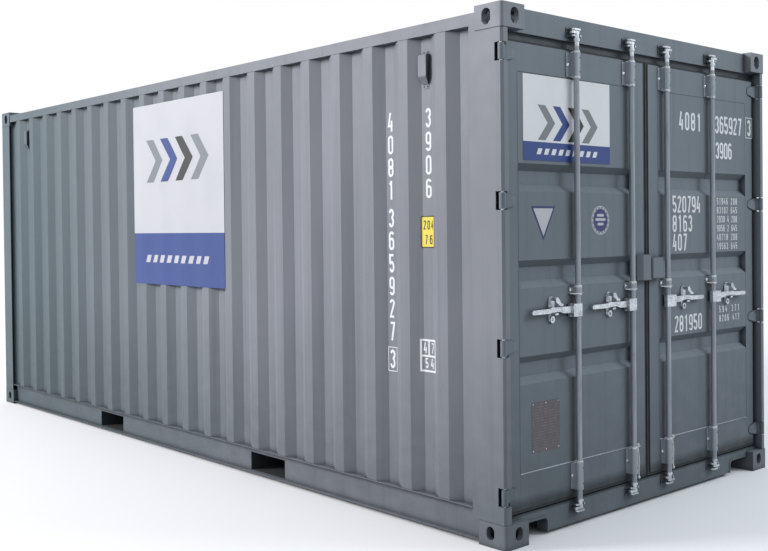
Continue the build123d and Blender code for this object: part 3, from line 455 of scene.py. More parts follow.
# %% [markdown]
# ## Finishes on the CAD pieces
#
# The record gives each node a material slot. Most slots take one finish. Bars, brackets
# and keepers share a slot with the handles in the record, and header, sill and doors one
# with the walls, so there the node's name decides.

# %% Assign finishes
SLOT_FINISH = {
    "container_paint": sheet_enamel,
    "casting_paint": cast_enamel,
    "underside_coat": underseal,
    "zinc_gear": bright_zinc,
    "door_rubber": rubber,
    "floor_plywood": plywood,
    "white_rope": rope,
}
NODE_FINISH = {
    "locking_bar": bar_coat,
    "bar_brackets": bracket_coat,
    "keepers": keeper_steel,
    "door_header": enamel_with_painted_shadow,
    "door_sill": enamel_with_painted_shadow,
    "door_frame": door_enamel,
    "door_panel": door_enamel,
    "lock_box": door_enamel,
    "door_hinges": door_enamel,
}

for part in frame["record"]["subparts"]:
    node = frame["nodes"][part["node"]]
    finish = SLOT_FINISH[part["material_slot"]]
    for word, special in NODE_FINISH.items():
        if word in part["node"]:
            finish = special
    if not node.material_slots:
        node.data.materials.append(finish)
    for slot in node.material_slots:
        slot.material = finish

# %% [markdown]
# ## Adding a piece
#
# Each added thing is modelled as a bmesh, which is a mesh that a script can build point
# by point. When its shape is done it becomes an object with a finish. It rides on one of
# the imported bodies, so that it moves with its door.

# %% From a shape to a piece
def keep(name, shape, body, finish):
    """A bmesh as a piece that rides on a body with its finish. The bmesh is freed."""
    mesh = bpy.data.meshes.new(name)
    shape.to_mesh(mesh)
    shape.free()
    mesh.materials.append(finish)
    piece = bpy.data.objects.new(name, mesh)
    bpy.context.scene.collection.objects.link(piece)
    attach(piece, body)
    return piece


print("slots in the record:", len(SLOT_FINISH))

# %% [markdown]
# ## Tie ropes
#
# A short white rope hangs from the bottom bracket of each inner bar. Its line is a smooth
# spline through the air: straight down out of the hole in the bracket's wing, then with
# the slight waves that a limp rope keeps. Three strands are laid round that line like the
# threads of a screw, and a knot at the end stops them from coming loose. A second knot on
# top of the wing carries the rope.

# %% Ropes, their strands and knots
STRAND_R = 1.95
STRAND_OUT = 2.1
LAY_LENGTH = 22
STRAND_SIDES = 8
KNOT_TUBE = 3.2
KNOT_SIDES = 10
KNOT_STEPS = 48
END_KNOT, END_KNOT_RISE = 4.6, 4
TOP_KNOT, TOP_KNOT_RISE = 4.2, 3


def tube(shape, middles, radius, sides, closed=False):
    """A round tube along points, with flat caps at open ends."""
    rings = []
    count = len(middles)
    side = Vector((0, 1, 0))
    for i, point in enumerate(middles):
        if closed:
            way = middles[(i + 1) % count] - middles[i - 1]
        else:
            way = middles[min(i + 1, count - 1)] - middles[max(i - 1, 0)]
        way.normalize()
        side = (side - way * side.dot(way)).normalized()
        other = way.cross(side)
        rings.append([
            shape.verts.new(point + (side * math.cos(t) + other * math.sin(t)) * radius)
            for t in (2 * math.pi * k / sides for k in range(sides))])
    pairs = list(zip(rings, rings[1:]))
    if closed:
        pairs.append((rings[-1], rings[0]))
    for first, second in pairs:
        for k in range(sides):
            m = (k + 1) % sides
            shape.faces.new((first[k], first[m], second[m], second[k])).smooth = True
    if not closed:
        shape.faces.new(list(reversed(rings[0])))
        shape.faces.new(rings[-1])


def knot_points(centre, size):
    """A trefoil, which is what an overhand knot is when pulled tight."""
    points = []
    for i in range(KNOT_STEPS):
        t = 2 * math.pi * i / KNOT_STEPS
        reach = 1 + 0.42 * math.cos(3 * t)
        flat = Vector((math.cos(2 * t) * reach, math.sin(2 * t) * reach, 0.62 * math.sin(3 * t)))
        points.append(centre + Vector((flat.x, flat.z, flat.y)) * size * MM)
    return points


def tie_rope(name, body, node, y):
    """One rope with its strands and knots, in place of the plain one."""
    route = [
        mm(3000, y, 334), mm(3000, y + 0.2, 300), mm(3003, y + 5, 262),
        mm(2999, y + 7, 205), mm(3001, y + 4, 154)]
    curve = bpy.data.curves.new(name + "_line", "CURVE")
    curve.dimensions = "3D"
    curve.resolution_u = 24
    spline = curve.splines.new("NURBS")
    spline.points.add(len(route) - 1)
    for point, place in zip(spline.points, route):
        point.co = (*place, 1)
    spline.order_u = 3
    spline.use_endpoint_u = True
    holder = bpy.data.objects.new(name + "_line", curve)
    line = [v.co.copy() for v in bpy.data.meshes.new_from_object(holder).vertices]
    bpy.data.objects.remove(holder)
    shape = bmesh.new()
    for strand in range(3):
        run, points = 0.0, []
        for i, place in enumerate(line):
            run += (place - line[i - 1]).length if i else 0.0
            turn = 2 * math.pi * (run / mm(LAY_LENGTH) + strand / 3)
            points.append(place + mm(math.cos(turn) * STRAND_OUT, math.sin(turn) * STRAND_OUT, 0))
        tube(shape, points, mm(STRAND_R), STRAND_SIDES)
    piece = keep(name, shape, body, rope)
    knots = bmesh.new()
    for end, rise, size in ((line[-1], END_KNOT_RISE, END_KNOT), (line[0], TOP_KNOT_RISE, TOP_KNOT)):
        middles = knot_points(end + mm(0, 0, rise), size)
        tube(knots, middles, mm(KNOT_TUBE), KNOT_SIDES, closed=True)
    knot = keep(name + "_knots", knots, body, rope)
    for thing in (piece, knot):
        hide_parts(node)
    print(name, "spline points:", len(line))


tie_rope("left_rope", "left_door", "left_tie_rope", -115)
tie_rope("right_rope", "right_door", "right_tie_rope", 219)

# %% [markdown]
# ## Flat shapes on a wall or a door
#
# Signs, labels and digits are thin films stuck on steel. Each is built on a
# face with its own directions: across, up and out. A piece is drawn in millimetres
# across and up from the container's centre line and the ground, so its numbers can be
# checked with a tape measure. A face may also say how deep its steel lies at a place
# across: the side wall's corrugation repeats each 278 mm, with a flat, a slope down to
# the hollow 36 mm deeper, and a slope back up.

# %% Faces and a builder for film shapes
DOOR_FACE = 2983
SIDE_OUTER = 1213
FILM = 0.6
PITCH = 278
FLAT_CENTRE = 2610
FLAT_HALF = 36
HOLLOW_HALF = 35
HOLLOW_DEEP = 36
SAG_HALF = 1.5


def from_flat(across):
    """Distance from the middle of the nearest outer flat of the side wall."""
    return abs((across - FLAT_CENTRE + PITCH / 2) % PITCH - PITCH / 2)


def wall_depth(across):
    """How deep the corrugated sheet lies behind its outer flats."""
    slope = PITCH / 2 - FLAT_HALF - HOLLOW_HALF
    return HOLLOW_DEEP * min(1, max(0, (from_flat(across) - FLAT_HALF) / slope))


def sheet_sag(across):
    """How far a tight film sags between two outer flats."""
    return SAG_HALF * (1 - math.cos(from_flat(across) / PITCH * 2 * math.pi))


def no_depth(across):
    """A flat face."""
    return 0.0


DOOR = {
    "origin": mm(DOOR_FACE, 0, 0), "across": Vector((0, 1, 0)), "out": Vector((1, 0, 0)),
    "depth": no_depth}
SIDE = {
    "origin": mm(0, -SIDE_OUTER, 0), "across": Vector((1, 0, 0)),
    "out": Vector((0, -1, 0)), "depth": wall_depth}
SIDE_SHEET = dict(SIDE, depth=sheet_sag)


def on_face(face, across, up, out=0.0):
    """The point of a face at these millimetres."""
    return face["origin"] + face["across"] * across * MM + Vector((0, 0, up * MM)) \
        + face["out"] * (out - face["depth"](across)) * MM


def face_outward(shape, face):
    """Turn the faces of a flat shape so that they look away from the steel."""
    for side in shape.faces:
        side.normal_update()
        if side.normal.dot(face["out"]) < 0:
            side.normal_flip()


def film(name, face, body, outline, finish, lift=0.0, thick=FILM):
    """A film or plate with this outline: a front and its edges."""
    shape = bmesh.new()
    back = [shape.verts.new(on_face(face, a, u, lift)) for a, u in outline]
    front = [shape.verts.new(on_face(face, a, u, lift + thick)) for a, u in outline]
    shape.faces.new(front)
    for i in range(len(outline)):
        j = (i + 1) % len(outline)
        shape.faces.new((back[i], back[j], front[j], front[i]))
    bmesh.ops.recalc_face_normals(shape, faces=shape.faces)
    shape.faces.ensure_lookup_table()
    if shape.faces[0].normal.dot(face["out"]) < 0:
        bmesh.ops.reverse_faces(shape, faces=shape.faces)
    keep(name, shape, body, finish)


def box_outline(left, right, low, high):
    """Corners of a rectangle, anticlockwise."""
    return [(left, low), (right, low), (right, high), (left, high)]


def arc(centre_x, centre_y, radius_x, radius_y, start, end, steps=10):
    """Points along part of an ellipse, from one angle in degrees to another."""
    angles = [math.radians(start + (end - start) * i / steps) for i in range(steps + 1)]
    return [(centre_x + radius_x * math.cos(t), centre_y + radius_y * math.sin(t)) for t in angles]


def round_outline(left, right, low, high, radius):
    """Outline of a rectangle with round corners, anticlockwise."""
    points = []
    corners = ((right, high, 0), (left, high, 90), (left, low, 180), (right, low, 270))
    for x, z, start in corners:
        centre_x = x - radius if x == right else x + radius
        centre_z = z - radius if z == high else z + radius
        points += arc(centre_x, centre_z, radius, radius, start, start + 90, 4)
    return points


def strips(name, face, body, outline, finish, lift, step):
    """A flat shape without thickness, cut in strips that follow the face's depth."""
    shape = bmesh.new()
    shape.faces.new([shape.verts.new((a, u, 0)) for a, u in outline])
    left = min(a for a, u in outline)
    right = max(a for a, u in outline)
    for i in range(1, math.ceil((right - left) / step)):
        everything = shape.verts[:] + shape.edges[:] + shape.faces[:]
        bmesh.ops.bisect_plane(
            shape, geom=everything, plane_co=(left + step * i, 0, 0), plane_no=(1, 0, 0))
    for v in shape.verts:
        v.co = on_face(face, v.co.x, v.co.y, lift)
    face_outward(shape, face)
    for side in shape.faces:
        side.smooth = True
    keep(name, shape, body, finish)


print("hollow depth at x = 2471 mm:", wall_depth(2471), "mm")

# %% [markdown]
# ## Vinyl films
#
# The large signs are printed vinyl: smooth, a little glossy, with small bubbles. The
# white marks are thin film cut in the shape of digits, a bit chalky. All of them have
# the dust of the wall on them.

# %% Film finishes
def vinyl(name, colour, worn, gloss=0.38):
    """Printed vinyl film, dusty in clouds, with small bubbles."""
    material, tree, place, shader = new_finish(name)
    dust = noise(tree, stretched(tree, place, 260, 260, 340), detail=4)
    bubbles = noise(tree, stretched(tree, place, 35, 35, 35), detail=2)
    shade = tint(tree, spread(tree, dust, 0.45, 0.8, 0, 0.5), hex_colour(colour), hex_colour(worn))
    set_shader(
        tree, shader, Base_Color=shade, Roughness=gloss,
        Normal=relief(tree, bubbles, 0.4))
    return material


white_vinyl = vinyl("printed_white_vinyl", "#C8CACF", "#B9BDC2")
blue_vinyl = vinyl("printed_blue_vinyl", "#1F3F85", "#2A4784")
navy_vinyl = vinyl("printed_navy_vinyl", "#2A2F6B", "#363B6E")
grey_vinyl = vinyl("printed_grey_vinyl", "#7C8288", "#8A9097")
yellow_vinyl = vinyl("printed_yellow_vinyl", "#F2DE52", "#E0CD58")
black_vinyl = vinyl("printed_black_vinyl", "#1C1D20", "#2C2D30")
mark_white = vinyl("white_cut_film", "#F0F2F5", "#CDD2D7", gloss=0.55)
new_white_vinyl = vinyl("printed_white_vinyl_on_door", "#F0F2F5", "#DDE0E4")
print("films ready")

# %% [markdown]
# ## The signs
#
# Each sign is one sheet of film that bridges the corrugations, so it lies nearly flat,
# with a faint wave where it sags into them. Its print is a plain pattern of its own: a
# row of arrow bars on white and a blue band below with a row of slanted dashes. Every
# printed shape is cut into narrow strips first, so that it can follow the same wave.

# %% Sign sheets
SIGN_WIDE = 1200
STRIP = 40
SHEET_LIFT = 1.2
LAYER_LIFT = 0.35


def sign(name, face, body, left, right, low, high, band, white):
    """White sheet with arrow bars, and a blue band with dashes, drawn SIGN_WIDE wide."""
    unit = (right - left) / SIGN_WIDE
    shapes = [
        ("sheet", box_outline(left, right, low, high), white, 0),
        ("band", box_outline(left, right, low, band), blue_vinyl, 1)]
    middle = high - 400 * unit
    tall = 150 * unit
    bars = (("first", grey_vinyl), ("second", blue_vinyl), ("third", black_vinyl), ("last", grey_vinyl))
    for i, (word, finish) in enumerate(bars):
        x = left + (190 + 200 * i) * unit
        outline = [
            (x, middle - tall), (x + 100 * unit, middle - tall), (x + 230 * unit, middle),
            (x + 100 * unit, middle + tall), (x, middle + tall), (x + 130 * unit, middle)]
        shapes.append(("arrow_" + word, outline, finish, 1))
    centre = (low + band) / 2
    for i in range(9):
        x = left + (170 + 96 * i) * unit
        outline = [
            (x, centre - 26 * unit), (x + 54 * unit, centre - 26 * unit),
            (x + 78 * unit, centre + 26 * unit), (x + 24 * unit, centre + 26 * unit)]
        shapes.append((f"dash_{i + 1}", outline, white, 2))
    for word, outline, finish, layer in shapes:
        strips(f"{name}_{word}", face, body, outline, finish, SHEET_LIFT + LAYER_LIFT * layer, STRIP)


sign("side_sign", SIDE_SHEET, "box", -577, 623, 1151, 2419, 1511, white_vinyl)
sign("door_sign", DOOR, "left_door", -1023, -329, 1855, 2275, 1947, new_white_vinyl)
print("signs on the left side and the left door")

# %% [markdown]
# ## Cut digits
#
# The steel carries narrow white digits. Each digit is a pen path in a cell one unit high,
# made of straight runs and parts of ellipses, and the pen's width is about a seventh of
# the height. A ribbon follows the path: at each point it steps half a pen's width to both
# sides, square to the mean direction of the two runs that meet there.

# %% Digit shapes
PEN = 0.135
CELL = 0.42
CUT_LIFT = 0.5
PATH_LIFT = 0.15
LINE_LIFT = 0.05
LINE_STEPS = 12


def digit_paths():
    """The pen paths of the ten digits in a cell of one unit's height."""
    low = PEN / 2
    left = PEN / 2
    right = CELL - PEN / 2
    top = 1 - PEN / 2
    middle = CELL / 2
    turn = middle - left

    def ring(under, over):
        return arc(middle, over - turn, turn, turn, 0, 180) \
            + arc(middle, under + turn, turn, turn, 180, 360) + [(right, over - turn)]

    stem = right - 0.05
    six = [
        ring(low, 0.6),
        [(left, 0.3), (left, top - turn)] + arc(middle, top - turn, turn, turn, 180, 15)]
    return {
        "0": [ring(low, top)],
        "1": [[(middle - 0.11, 0.8), (middle + 0.03, top)], [(middle + 0.03, 1), (middle + 0.03, 0)]],
        "2": [arc(middle, top - turn, turn, turn, 175, -35) + [(left, low), (right, low)]],
        "3": [
            arc(middle, 0.73, turn, top - 0.73, 165, -90),
            arc(middle, 0.3, turn, 0.3 - low, 90, -165)],
        "4": [[(middle, 1), (left, 0.3), (right + 0.03, 0.3)], [(stem, 0.58), (stem, 0)]],
        "5": [
            [(right, top), (left, top), (left, 0.5)],
            arc(middle, low + 0.25, turn, 0.25, 150, -160)],
        "6": six,
        "7": [[(left, top), (right, top), (middle - 0.04, 0)]],
        "8": [ring(low, 0.5 + PEN / 4), ring(0.5 - PEN / 4, top)],
        "9": [[(CELL - x, 1 - y) for x, y in path] for path in six],
    }


DIGIT_PATHS = digit_paths()


def ribbon(shape, path, half, place):
    """Faces along a path, half a width to each side. place makes a point of x and y."""
    edge = []
    for i, (x, y) in enumerate(path):
        ways = []
        for a, b in ((i - 1, i), (i, i + 1)):
            if 0 <= a and b < len(path):
                way = Vector((path[b][0] - path[a][0], path[b][1] - path[a][1]))
                if way.length > 1e-6:
                    ways.append(way.normalized())
        mean = sum(ways, Vector((0, 0))).normalized()
        stretch = min(1.5, 1 / max(0.2, mean.dot(ways[0])))
        step = Vector((-mean.y, mean.x)) * half * stretch
        edge.append((
            shape.verts.new(place(x + step.x, y + step.y)),
            shape.verts.new(place(x - step.x, y - step.y))))
    for (a, b), (c, d) in zip(edge, edge[1:]):
        shape.faces.new((a, b, d, c))


def digits(name, text, face, body, left, low, right, high, lift=CUT_LIFT, finish=mark_white):
    """A row of digits that fills this box on a face. A blank is a space."""
    tall = high - low
    wide = CELL * tall
    pitch = (right - left - wide) / max(1, len(text) - 1)
    shape = bmesh.new()
    for i, letter in enumerate(text):
        for layer, path in enumerate(DIGIT_PATHS.get(letter, [])):
            def place(x, y):
                return on_face(
                    face, left + pitch * i + x * tall, low + y * tall, lift + PATH_LIFT * layer)
            ribbon(shape, path, PEN / 2, place)
    face_outward(shape, face)
    keep(name, shape, body, finish)


def frame_lines(name, face, body, left, right, low, high, wide, cross=()):
    """A frame of straight lines, with cross lines inside it."""
    half = wide / 2
    sides = [
        ((left, low), (right, low)), ((left, high), (right, high)),
        ((left, low - half), (left, high + half)), ((right, low - half), (right, high + half))]
    shape = bmesh.new()
    for layer, (start, end) in enumerate(sides + list(cross)):
        middles = [
            tuple(a + (b - a) * i / LINE_STEPS for a, b in zip(start, end))
            for i in range(LINE_STEPS + 1)]
        lift = CUT_LIFT + LINE_LIFT * layer
        ribbon(shape, middles, half, lambda x, y: on_face(face, x, y, lift))
    face_outward(shape, face)
    keep(name, shape, body, mark_white)


print("paths for", len(DIGIT_PATHS), "digits")

# %% [markdown]
# ## Digits on the side
#
# Two columns stand in the hollows next to the door post: eleven digits in groups of
# four, six and one, the last one in a thin frame, and four more beside them.

# %% Columns of digits
DIGIT_HIGH = 100
COLUMN_PITCH = 120
GROUP_GAP = 28
FIRST_LEFT = 2172
SECOND_LEFT = 2462
DIGIT_WIDE = CELL * DIGIT_HIGH
FIRST_COLUMN = "40813659273"
SECOND_COLUMN = "3906"

for i, digit in enumerate(FIRST_COLUMN):
    z = 2091 - COLUMN_PITCH * i - GROUP_GAP * (i > 3) - GROUP_GAP * (i > 9)
    digits(
        f"side_digit_{i + 1}", digit, SIDE, "box", FIRST_LEFT, z - DIGIT_HIGH / 2,
        FIRST_LEFT + DIGIT_WIDE, z + DIGIT_HIGH / 2)
    if i == len(FIRST_COLUMN) - 1:
        frame_lines(
            "side_digit_frame", SIDE, "box", FIRST_LEFT - 12, FIRST_LEFT + DIGIT_WIDE + 14,
            z - 64, z + 62, 4)
for i, digit in enumerate(SECOND_COLUMN):
    low = 2041 - COLUMN_PITCH * i
    digits(
        f"side_size_digit_{i + 1}", digit, SIDE, "box", SECOND_LEFT, low,
        SECOND_LEFT + DIGIT_WIDE, low + DIGIT_HIGH)
print("side digits:", len(FIRST_COLUMN) + len(SECOND_COLUMN))

# %% [markdown]
# ## Small marks on the side
#
# Below the second column there is a yellow label with a black edge, and a white frame
# with a cross bar. Both carry plain digits.

# %% Yellow label and framed mark
LABEL_STRIP = 5
strips(
    "side_label_edge", SIDE, "box", round_outline(2425, 2534, 1427, 1591, 10), black_vinyl,
    0.5, LABEL_STRIP)
strips(
    "side_label", SIDE, "box", round_outline(2431, 2528, 1433, 1585, 6), yellow_vinyl,
    0.9, LABEL_STRIP)
digits("side_label_top", "204", SIDE, "box", 2441, 1521, 2518, 1568, 1.3, black_vinyl)
digits("side_label_low", "76", SIDE, "box", 2452, 1446, 2507, 1493, 1.3, black_vinyl)

frame_lines(
    "side_mark", SIDE, "box", 2421, 2530, 796, 954, 10,
    cross=[((2421, 873), (2530, 873)), ((2473, 873), (2473, 954))])
digits("side_mark_left", "4", SIDE, "box", 2434, 887, 2460, 942, 0.6)
digits("side_mark_right", "7", SIDE, "box", 2489, 887, 2515, 942, 0.6)
digits("side_mark_low", "54", SIDE, "box", 2446, 810, 2508, 862, 0.6)
print("label and mark ready")

# %% [markdown]
# ## Rows of digits on the right door
#
# The right leaf has a row of eleven digits and a row of four at the top. Lower down are
# rows that stand where weights are given: large digits left of the outer bar and small
# ones right of it.

# %% Door digits
DOOR_ROWS = (
    ("4081", 331, 561, 2077, 2183),
    ("365927", 715, 1021, 2077, 2183),
    ("3906", 719, 905, 1925, 2025),
    ("520794", 259, 549, 1601, 1699),
    ("8163", 259, 461, 1491, 1589),
    ("407", 259, 405, 1383, 1481),
    ("281950", 273, 559, 917, 1013))
SMALL_ROWS = ("51946 208", "83107 645", "7930 4 208", "9056 2 645", "40718 208", "19563 645")
LAST_ROWS = ("594 371", "8206 417")
SMALL_HIGH = 40
SMALL_PITCH = 54

for i, (text, left, right, low, high) in enumerate(DOOR_ROWS):
    digits(f"door_row_{i + 1}", text, DOOR, "right_door", left, low, right, high)
digits("door_last_digit", "3", DOOR, "right_door", 1090, 2080, 1126, 2180)
frame_lines("door_digit_frame", DOOR, "right_door", 1069, 1147, 2068, 2192, 4)
for i, text in enumerate(SMALL_ROWS):
    low = 1651 - SMALL_PITCH * i
    digits(f"door_weight_{i + 1}", text, DOOR, "right_door", 731, low, 961, low + SMALL_HIGH)
for i, text in enumerate(LAST_ROWS):
    low = 1001 - (SMALL_PITCH + 1) * i
    digits(f"door_volume_{i + 1}", text, DOOR, "right_door", 751, low, 981, low + SMALL_HIGH)
print("door rows:", len(DOOR_ROWS) + 1 + len(SMALL_ROWS) + len(LAST_ROWS))

# %% [markdown]
# ## Labels on the left door
#
# A white triangle with a navy edge and a round blue label sit at eye height, and a thin
# metal plate is riveted on low down. They carry no words.

# %% Triangle, round label and plate
def plate_metal():
    """Brown anodised plate with faint etched rows."""
    material, tree, place, shader = new_finish("etched_anodised_plate")
    rows = add(
        tree, "ShaderNodeTexWave", {
            "Vector": stretched(tree, place, 22, 22, 22), "Scale": 0.5, "Distortion": 0.0},
        wave_type="BANDS", bands_direction="Z").outputs["Fac"]
    broken = noise(tree, stretched(tree, place, 9, 9, 30), detail=3)
    ink = sums(tree, "MULTIPLY", spread(tree, rows, 0.55, 0.75), spread(tree, broken, 0.45, 0.55))
    shade = tint(tree, ink, hex_colour("#5C5A5D"), hex_colour("#75686B"))
    set_shader(
        tree, shader, Base_Color=shade, Metallic=0.4, Roughness=0.5,
        Normal=relief(tree, ink, 0.1))
    return material


etched_plate = plate_metal()

film(
    "door_triangle_edge", DOOR, "left_door", [(-969, 1631), (-876, 1461), (-783, 1631)], navy_vinyl)
film(
    "door_triangle", DOOR, "left_door", [(-951, 1620), (-876, 1484), (-801, 1620)], white_vinyl,
    lift=FILM, thick=0.3)

DISC_Y = -414
DISC_Z = 1560
TICKS = 16
TICK_RING = 65.5


def circle(radius, count):
    """The round label's outline at this radius, with this many points."""
    step = 360 / count
    return arc(DISC_Y, DISC_Z, radius, radius, 0, 360 - step, count - 1)


film("door_disc_edge", DOOR, "left_door", circle(76, 48), white_vinyl)
film("door_disc_gap", DOOR, "left_door", circle(72, 48), grey_vinyl, lift=FILM, thick=0.2)
film("door_disc", DOOR, "left_door", circle(59, 36), navy_vinyl, lift=FILM + 0.2, thick=0.3)
for i in range(TICKS):
    turn = math.radians(360 / TICKS * i)
    along = Vector((math.cos(turn), math.sin(turn)))
    square = Vector((-along.y, along.x))
    centre = Vector((DISC_Y, DISC_Z)) + along * TICK_RING
    tick = [centre + along * a + square * b for a, b in ((-4, -6), (4, -6), (4, 6), (-4, 6))]
    film(
        f"door_disc_tick_{i + 1}", DOOR, "left_door", [tuple(p) for p in tick], white_vinyl,
        lift=FILM + 0.2, thick=0.2)
for i, (half, up) in enumerate(((30, 26), (44, 4), (26, -20))):
    film(
        f"door_disc_bar_{i + 1}", DOOR, "left_door",
        round_outline(DISC_Y - half, DISC_Y + half, DISC_Z + up - 7, DISC_Z + up + 7, 7),
        white_vinyl, lift=FILM + 0.5, thick=0.2)

film(
    "door_plate", DOOR, "left_door", round_outline(-975, -763, 419, 667, 6), etched_plate,
    thick=1.2)
print("labels ready")

# %% [markdown]
# ## Bolts, rivets and weld beads
#
# Brackets are held by round-headed coach bolts, which no spanner can grip from outside,
# and the plate by rivets. Each is a low dome: a few rings of points that follow a
# circle's arc. Dark blind rivets hold the sleeves, and the white rim of a nylon bush shows
# where a bar runs through its bracket. Weld beads are long half-round ridges that join the
# rails of each leaf to its sheet. The lowest one takes the paler coat of the bars as a
# painted highlight, where its top catches the light.

# %% Fasteners and weld beads
def dome(shape, centre, out, radius, tall, sides=12, rings=3):
    """A low dome on a surface, with its foot at the centre."""
    out = out.normalized()
    first = out.orthogonal().normalized()
    second = out.cross(first)
    levels = []
    for r in range(rings):
        rise = math.radians(90 * r / rings)
        level = []
        for i in range(sides):
            turn = 2 * math.pi * i / sides
            flat = first * math.cos(turn) + second * math.sin(turn)
            level.append(shape.verts.new(
                centre + (flat * radius * math.cos(rise) + out * tall * math.sin(rise)) * MM))
        levels.append(level)
    tip = shape.verts.new(centre + out * tall * MM)
    for lower, upper in zip(levels, levels[1:]):
        for i in range(sides):
            j = (i + 1) % sides
            shape.faces.new((lower[i], lower[j], upper[j], upper[i])).smooth = True
    for i in range(sides):
        shape.faces.new((levels[-1][i], levels[-1][(i + 1) % sides], tip)).smooth = True


BAR_Y = (-640, -167, 167, 640)
BRACKETS = ((2283, 2412, 52), (1187, 1226, 44), (190, 332, 40))
BRACKET_FACE = 5
BOLT_INSET = 11
BAR_X = 3010
SLEEVE_R = 18
SLEEVE_FLAT_HALF = 4
RIVET_TURN = math.radians(12)
BOLT_R, BOLT_HIGH = 10, 6.5
RIVET_R, RIVET_HIGH = 4.5, 0.8
SHORTEST_SLEEVE = 50

for side, body in ((-1, "left_door"), (1, "right_door")):
    bolts = bmesh.new()
    rivets = bmesh.new()
    for y in (bar for bar in BAR_Y if bar * side > 0):
        for low, high, half in BRACKETS:
            for way in (-1, 1):
                foot = on_face(DOOR, y + way * (half - BOLT_INSET), (low + high) / 2, BRACKET_FACE)
                dome(bolts, foot, DOOR["out"], BOLT_R, BOLT_HIGH, sides=16, rings=4)
            if high - low < SHORTEST_SLEEVE:
                continue
            out = Vector((math.cos(RIVET_TURN), math.sin(RIVET_TURN), 0))
            for part in (0.22, 0.78):
                foot = mm(BAR_X, y + SLEEVE_FLAT_HALF, low + (high - low) * part) \
                    + out * SLEEVE_R * MM
                dome(rivets, foot, out, RIVET_R, RIVET_HIGH)
    keep(body + "_bracket_bolts", bolts, body, bright_zinc)
    keep(body + "_sleeve_rivets", rivets, body, rubber)


def nylon():
    """White moulded nylon, greyed by weather."""
    material, tree, place, shader = new_finish("moulded_white_nylon")
    grime = noise(tree, stretched(tree, place, 12, 12, 12), detail=3)
    shade = tint(tree, spread(tree, grime, 0.45, 0.8), hex_colour("#ECEEF0"), hex_colour("#B4B8BA"))
    set_shader(tree, shader, Base_Color=shade, Roughness=0.45, Normal=relief(tree, grime, 0.2))
    return material


BUSH_RIM = 6
BUSH_BORE, BUSH_EDGE, BUSH_OUTER = 15.9, 18, 18.8
BUSH_BEVEL = 1
BUSH_SIDES = 24


def bush_rim(shape, y, low, high):
    """The rim of a bush round a bar: a ring with a bevelled outer edge."""
    profile = (
        (BUSH_BORE, low), (BUSH_EDGE, low), (BUSH_OUTER, low + BUSH_BEVEL),
        (BUSH_OUTER, high - BUSH_BEVEL), (BUSH_EDGE, high), (BUSH_BORE, high))
    rings = []
    for i in range(BUSH_SIDES):
        turn = 2 * math.pi * i / BUSH_SIDES
        rings.append([
            shape.verts.new(mm(BAR_X + r * math.cos(turn), y + r * math.sin(turn), z))
            for r, z in profile])
    for i in range(BUSH_SIDES):
        near, far = rings[i - 1], rings[i]
        for k in range(len(profile)):
            m = (k + 1) % len(profile)
            shape.faces.new((near[k], far[k], far[m], near[m])).smooth = k in (1, 3)


bush_nylon = nylon()
for side, body in ((-1, "left_door"), (1, "right_door")):
    rims = bmesh.new()
    for y in (bar for bar in BAR_Y if bar * side > 0):
        for low, high, half in BRACKETS:
            bush_rim(rims, y, high, high + BUSH_RIM)
            if low > BRACKETS[-1][0]:
                bush_rim(rims, y, low - BUSH_RIM, low)
    bmesh.ops.recalc_face_normals(rims, faces=rims.faces)
    keep(body + "_bush_rims", rims, body, bush_nylon)

shape = bmesh.new()
for y in (-966, -869, -772):
    for z in (428, 658):
        dome(shape, on_face(DOOR, y, z, 1.2), DOOR["out"], 3.4, 1.8)
keep("door_plate_rivets", shape, "left_door", bright_zinc)

BEAD_SIDES = 6


def bead(shape, face, start, end, radius):
    """A half-round weld bead between two points of a face, with tapered ends."""
    run = Vector((end[0] - start[0], end[1] - start[1]))
    square = Vector((-run.y, run.x)).normalized()
    rows = []
    for part, size in ((0, 0.2), (0.004, 1), (0.996, 1), (1, 0.2)):
        row = []
        for i in range(BEAD_SIDES + 1):
            turn = math.pi * i / BEAD_SIDES
            offset = square * radius * size * math.cos(turn)
            row.append(shape.verts.new(on_face(
                face, start[0] + run.x * part + offset.x, start[1] + run.y * part + offset.y,
                radius * size * math.sin(turn))))
        rows.append(row)
    for lower, upper in zip(rows, rows[1:]):
        for i in range(BEAD_SIDES):
            shape.faces.new((lower[i], lower[i + 1], upper[i + 1], upper[i])).smooth = True


STILE_INNER_Y = 1062
STILE_CENTRE_Y = 117
SHEET_LOW, SHEET_HIGH = 331, 2281
LOWEST_BEAD, RAIL_BEAD, STILE_BEAD = 3.2, 2.6, 1.4
for side, body in ((-1, "left_door"), (1, "right_door")):
    # The lowest bead takes the bars' paler coat: a painted highlight where its top catches the light.
    worn = bmesh.new()
    bead(worn, DOOR, (side * STILE_CENTRE_Y, SHEET_LOW), (side * STILE_INNER_Y, SHEET_LOW), LOWEST_BEAD)
    bmesh.ops.recalc_face_normals(worn, faces=worn.faces)
    keep(body + "_painted_highlight_bead", worn, body, bar_coat)
    shape = bmesh.new()
    bead(
        shape, DOOR, (side * STILE_CENTRE_Y, SHEET_HIGH), (side * STILE_INNER_Y, SHEET_HIGH), RAIL_BEAD)
    for y in (STILE_CENTRE_Y, STILE_INNER_Y):
        bead(shape, DOOR, (side * y, SHEET_LOW), (side * y, SHEET_HIGH), STILE_BEAD)
    bmesh.ops.recalc_face_normals(shape, faces=shape.faces)
    keep(body + "_weld_beads", shape, body, door_enamel)
print("bolts, rivets and weld beads ready")

# %% [markdown]
# ## Vent hoods
#
# A vent is a pressed hood over holes near the top of a hollow. Rain can't get in, because
# the air enters through its slanted underside. Its outline is a short list of distances
# out from the wall and up from its foot, each with the hood's half width there. A tab
# above and one below are riveted to the wall.

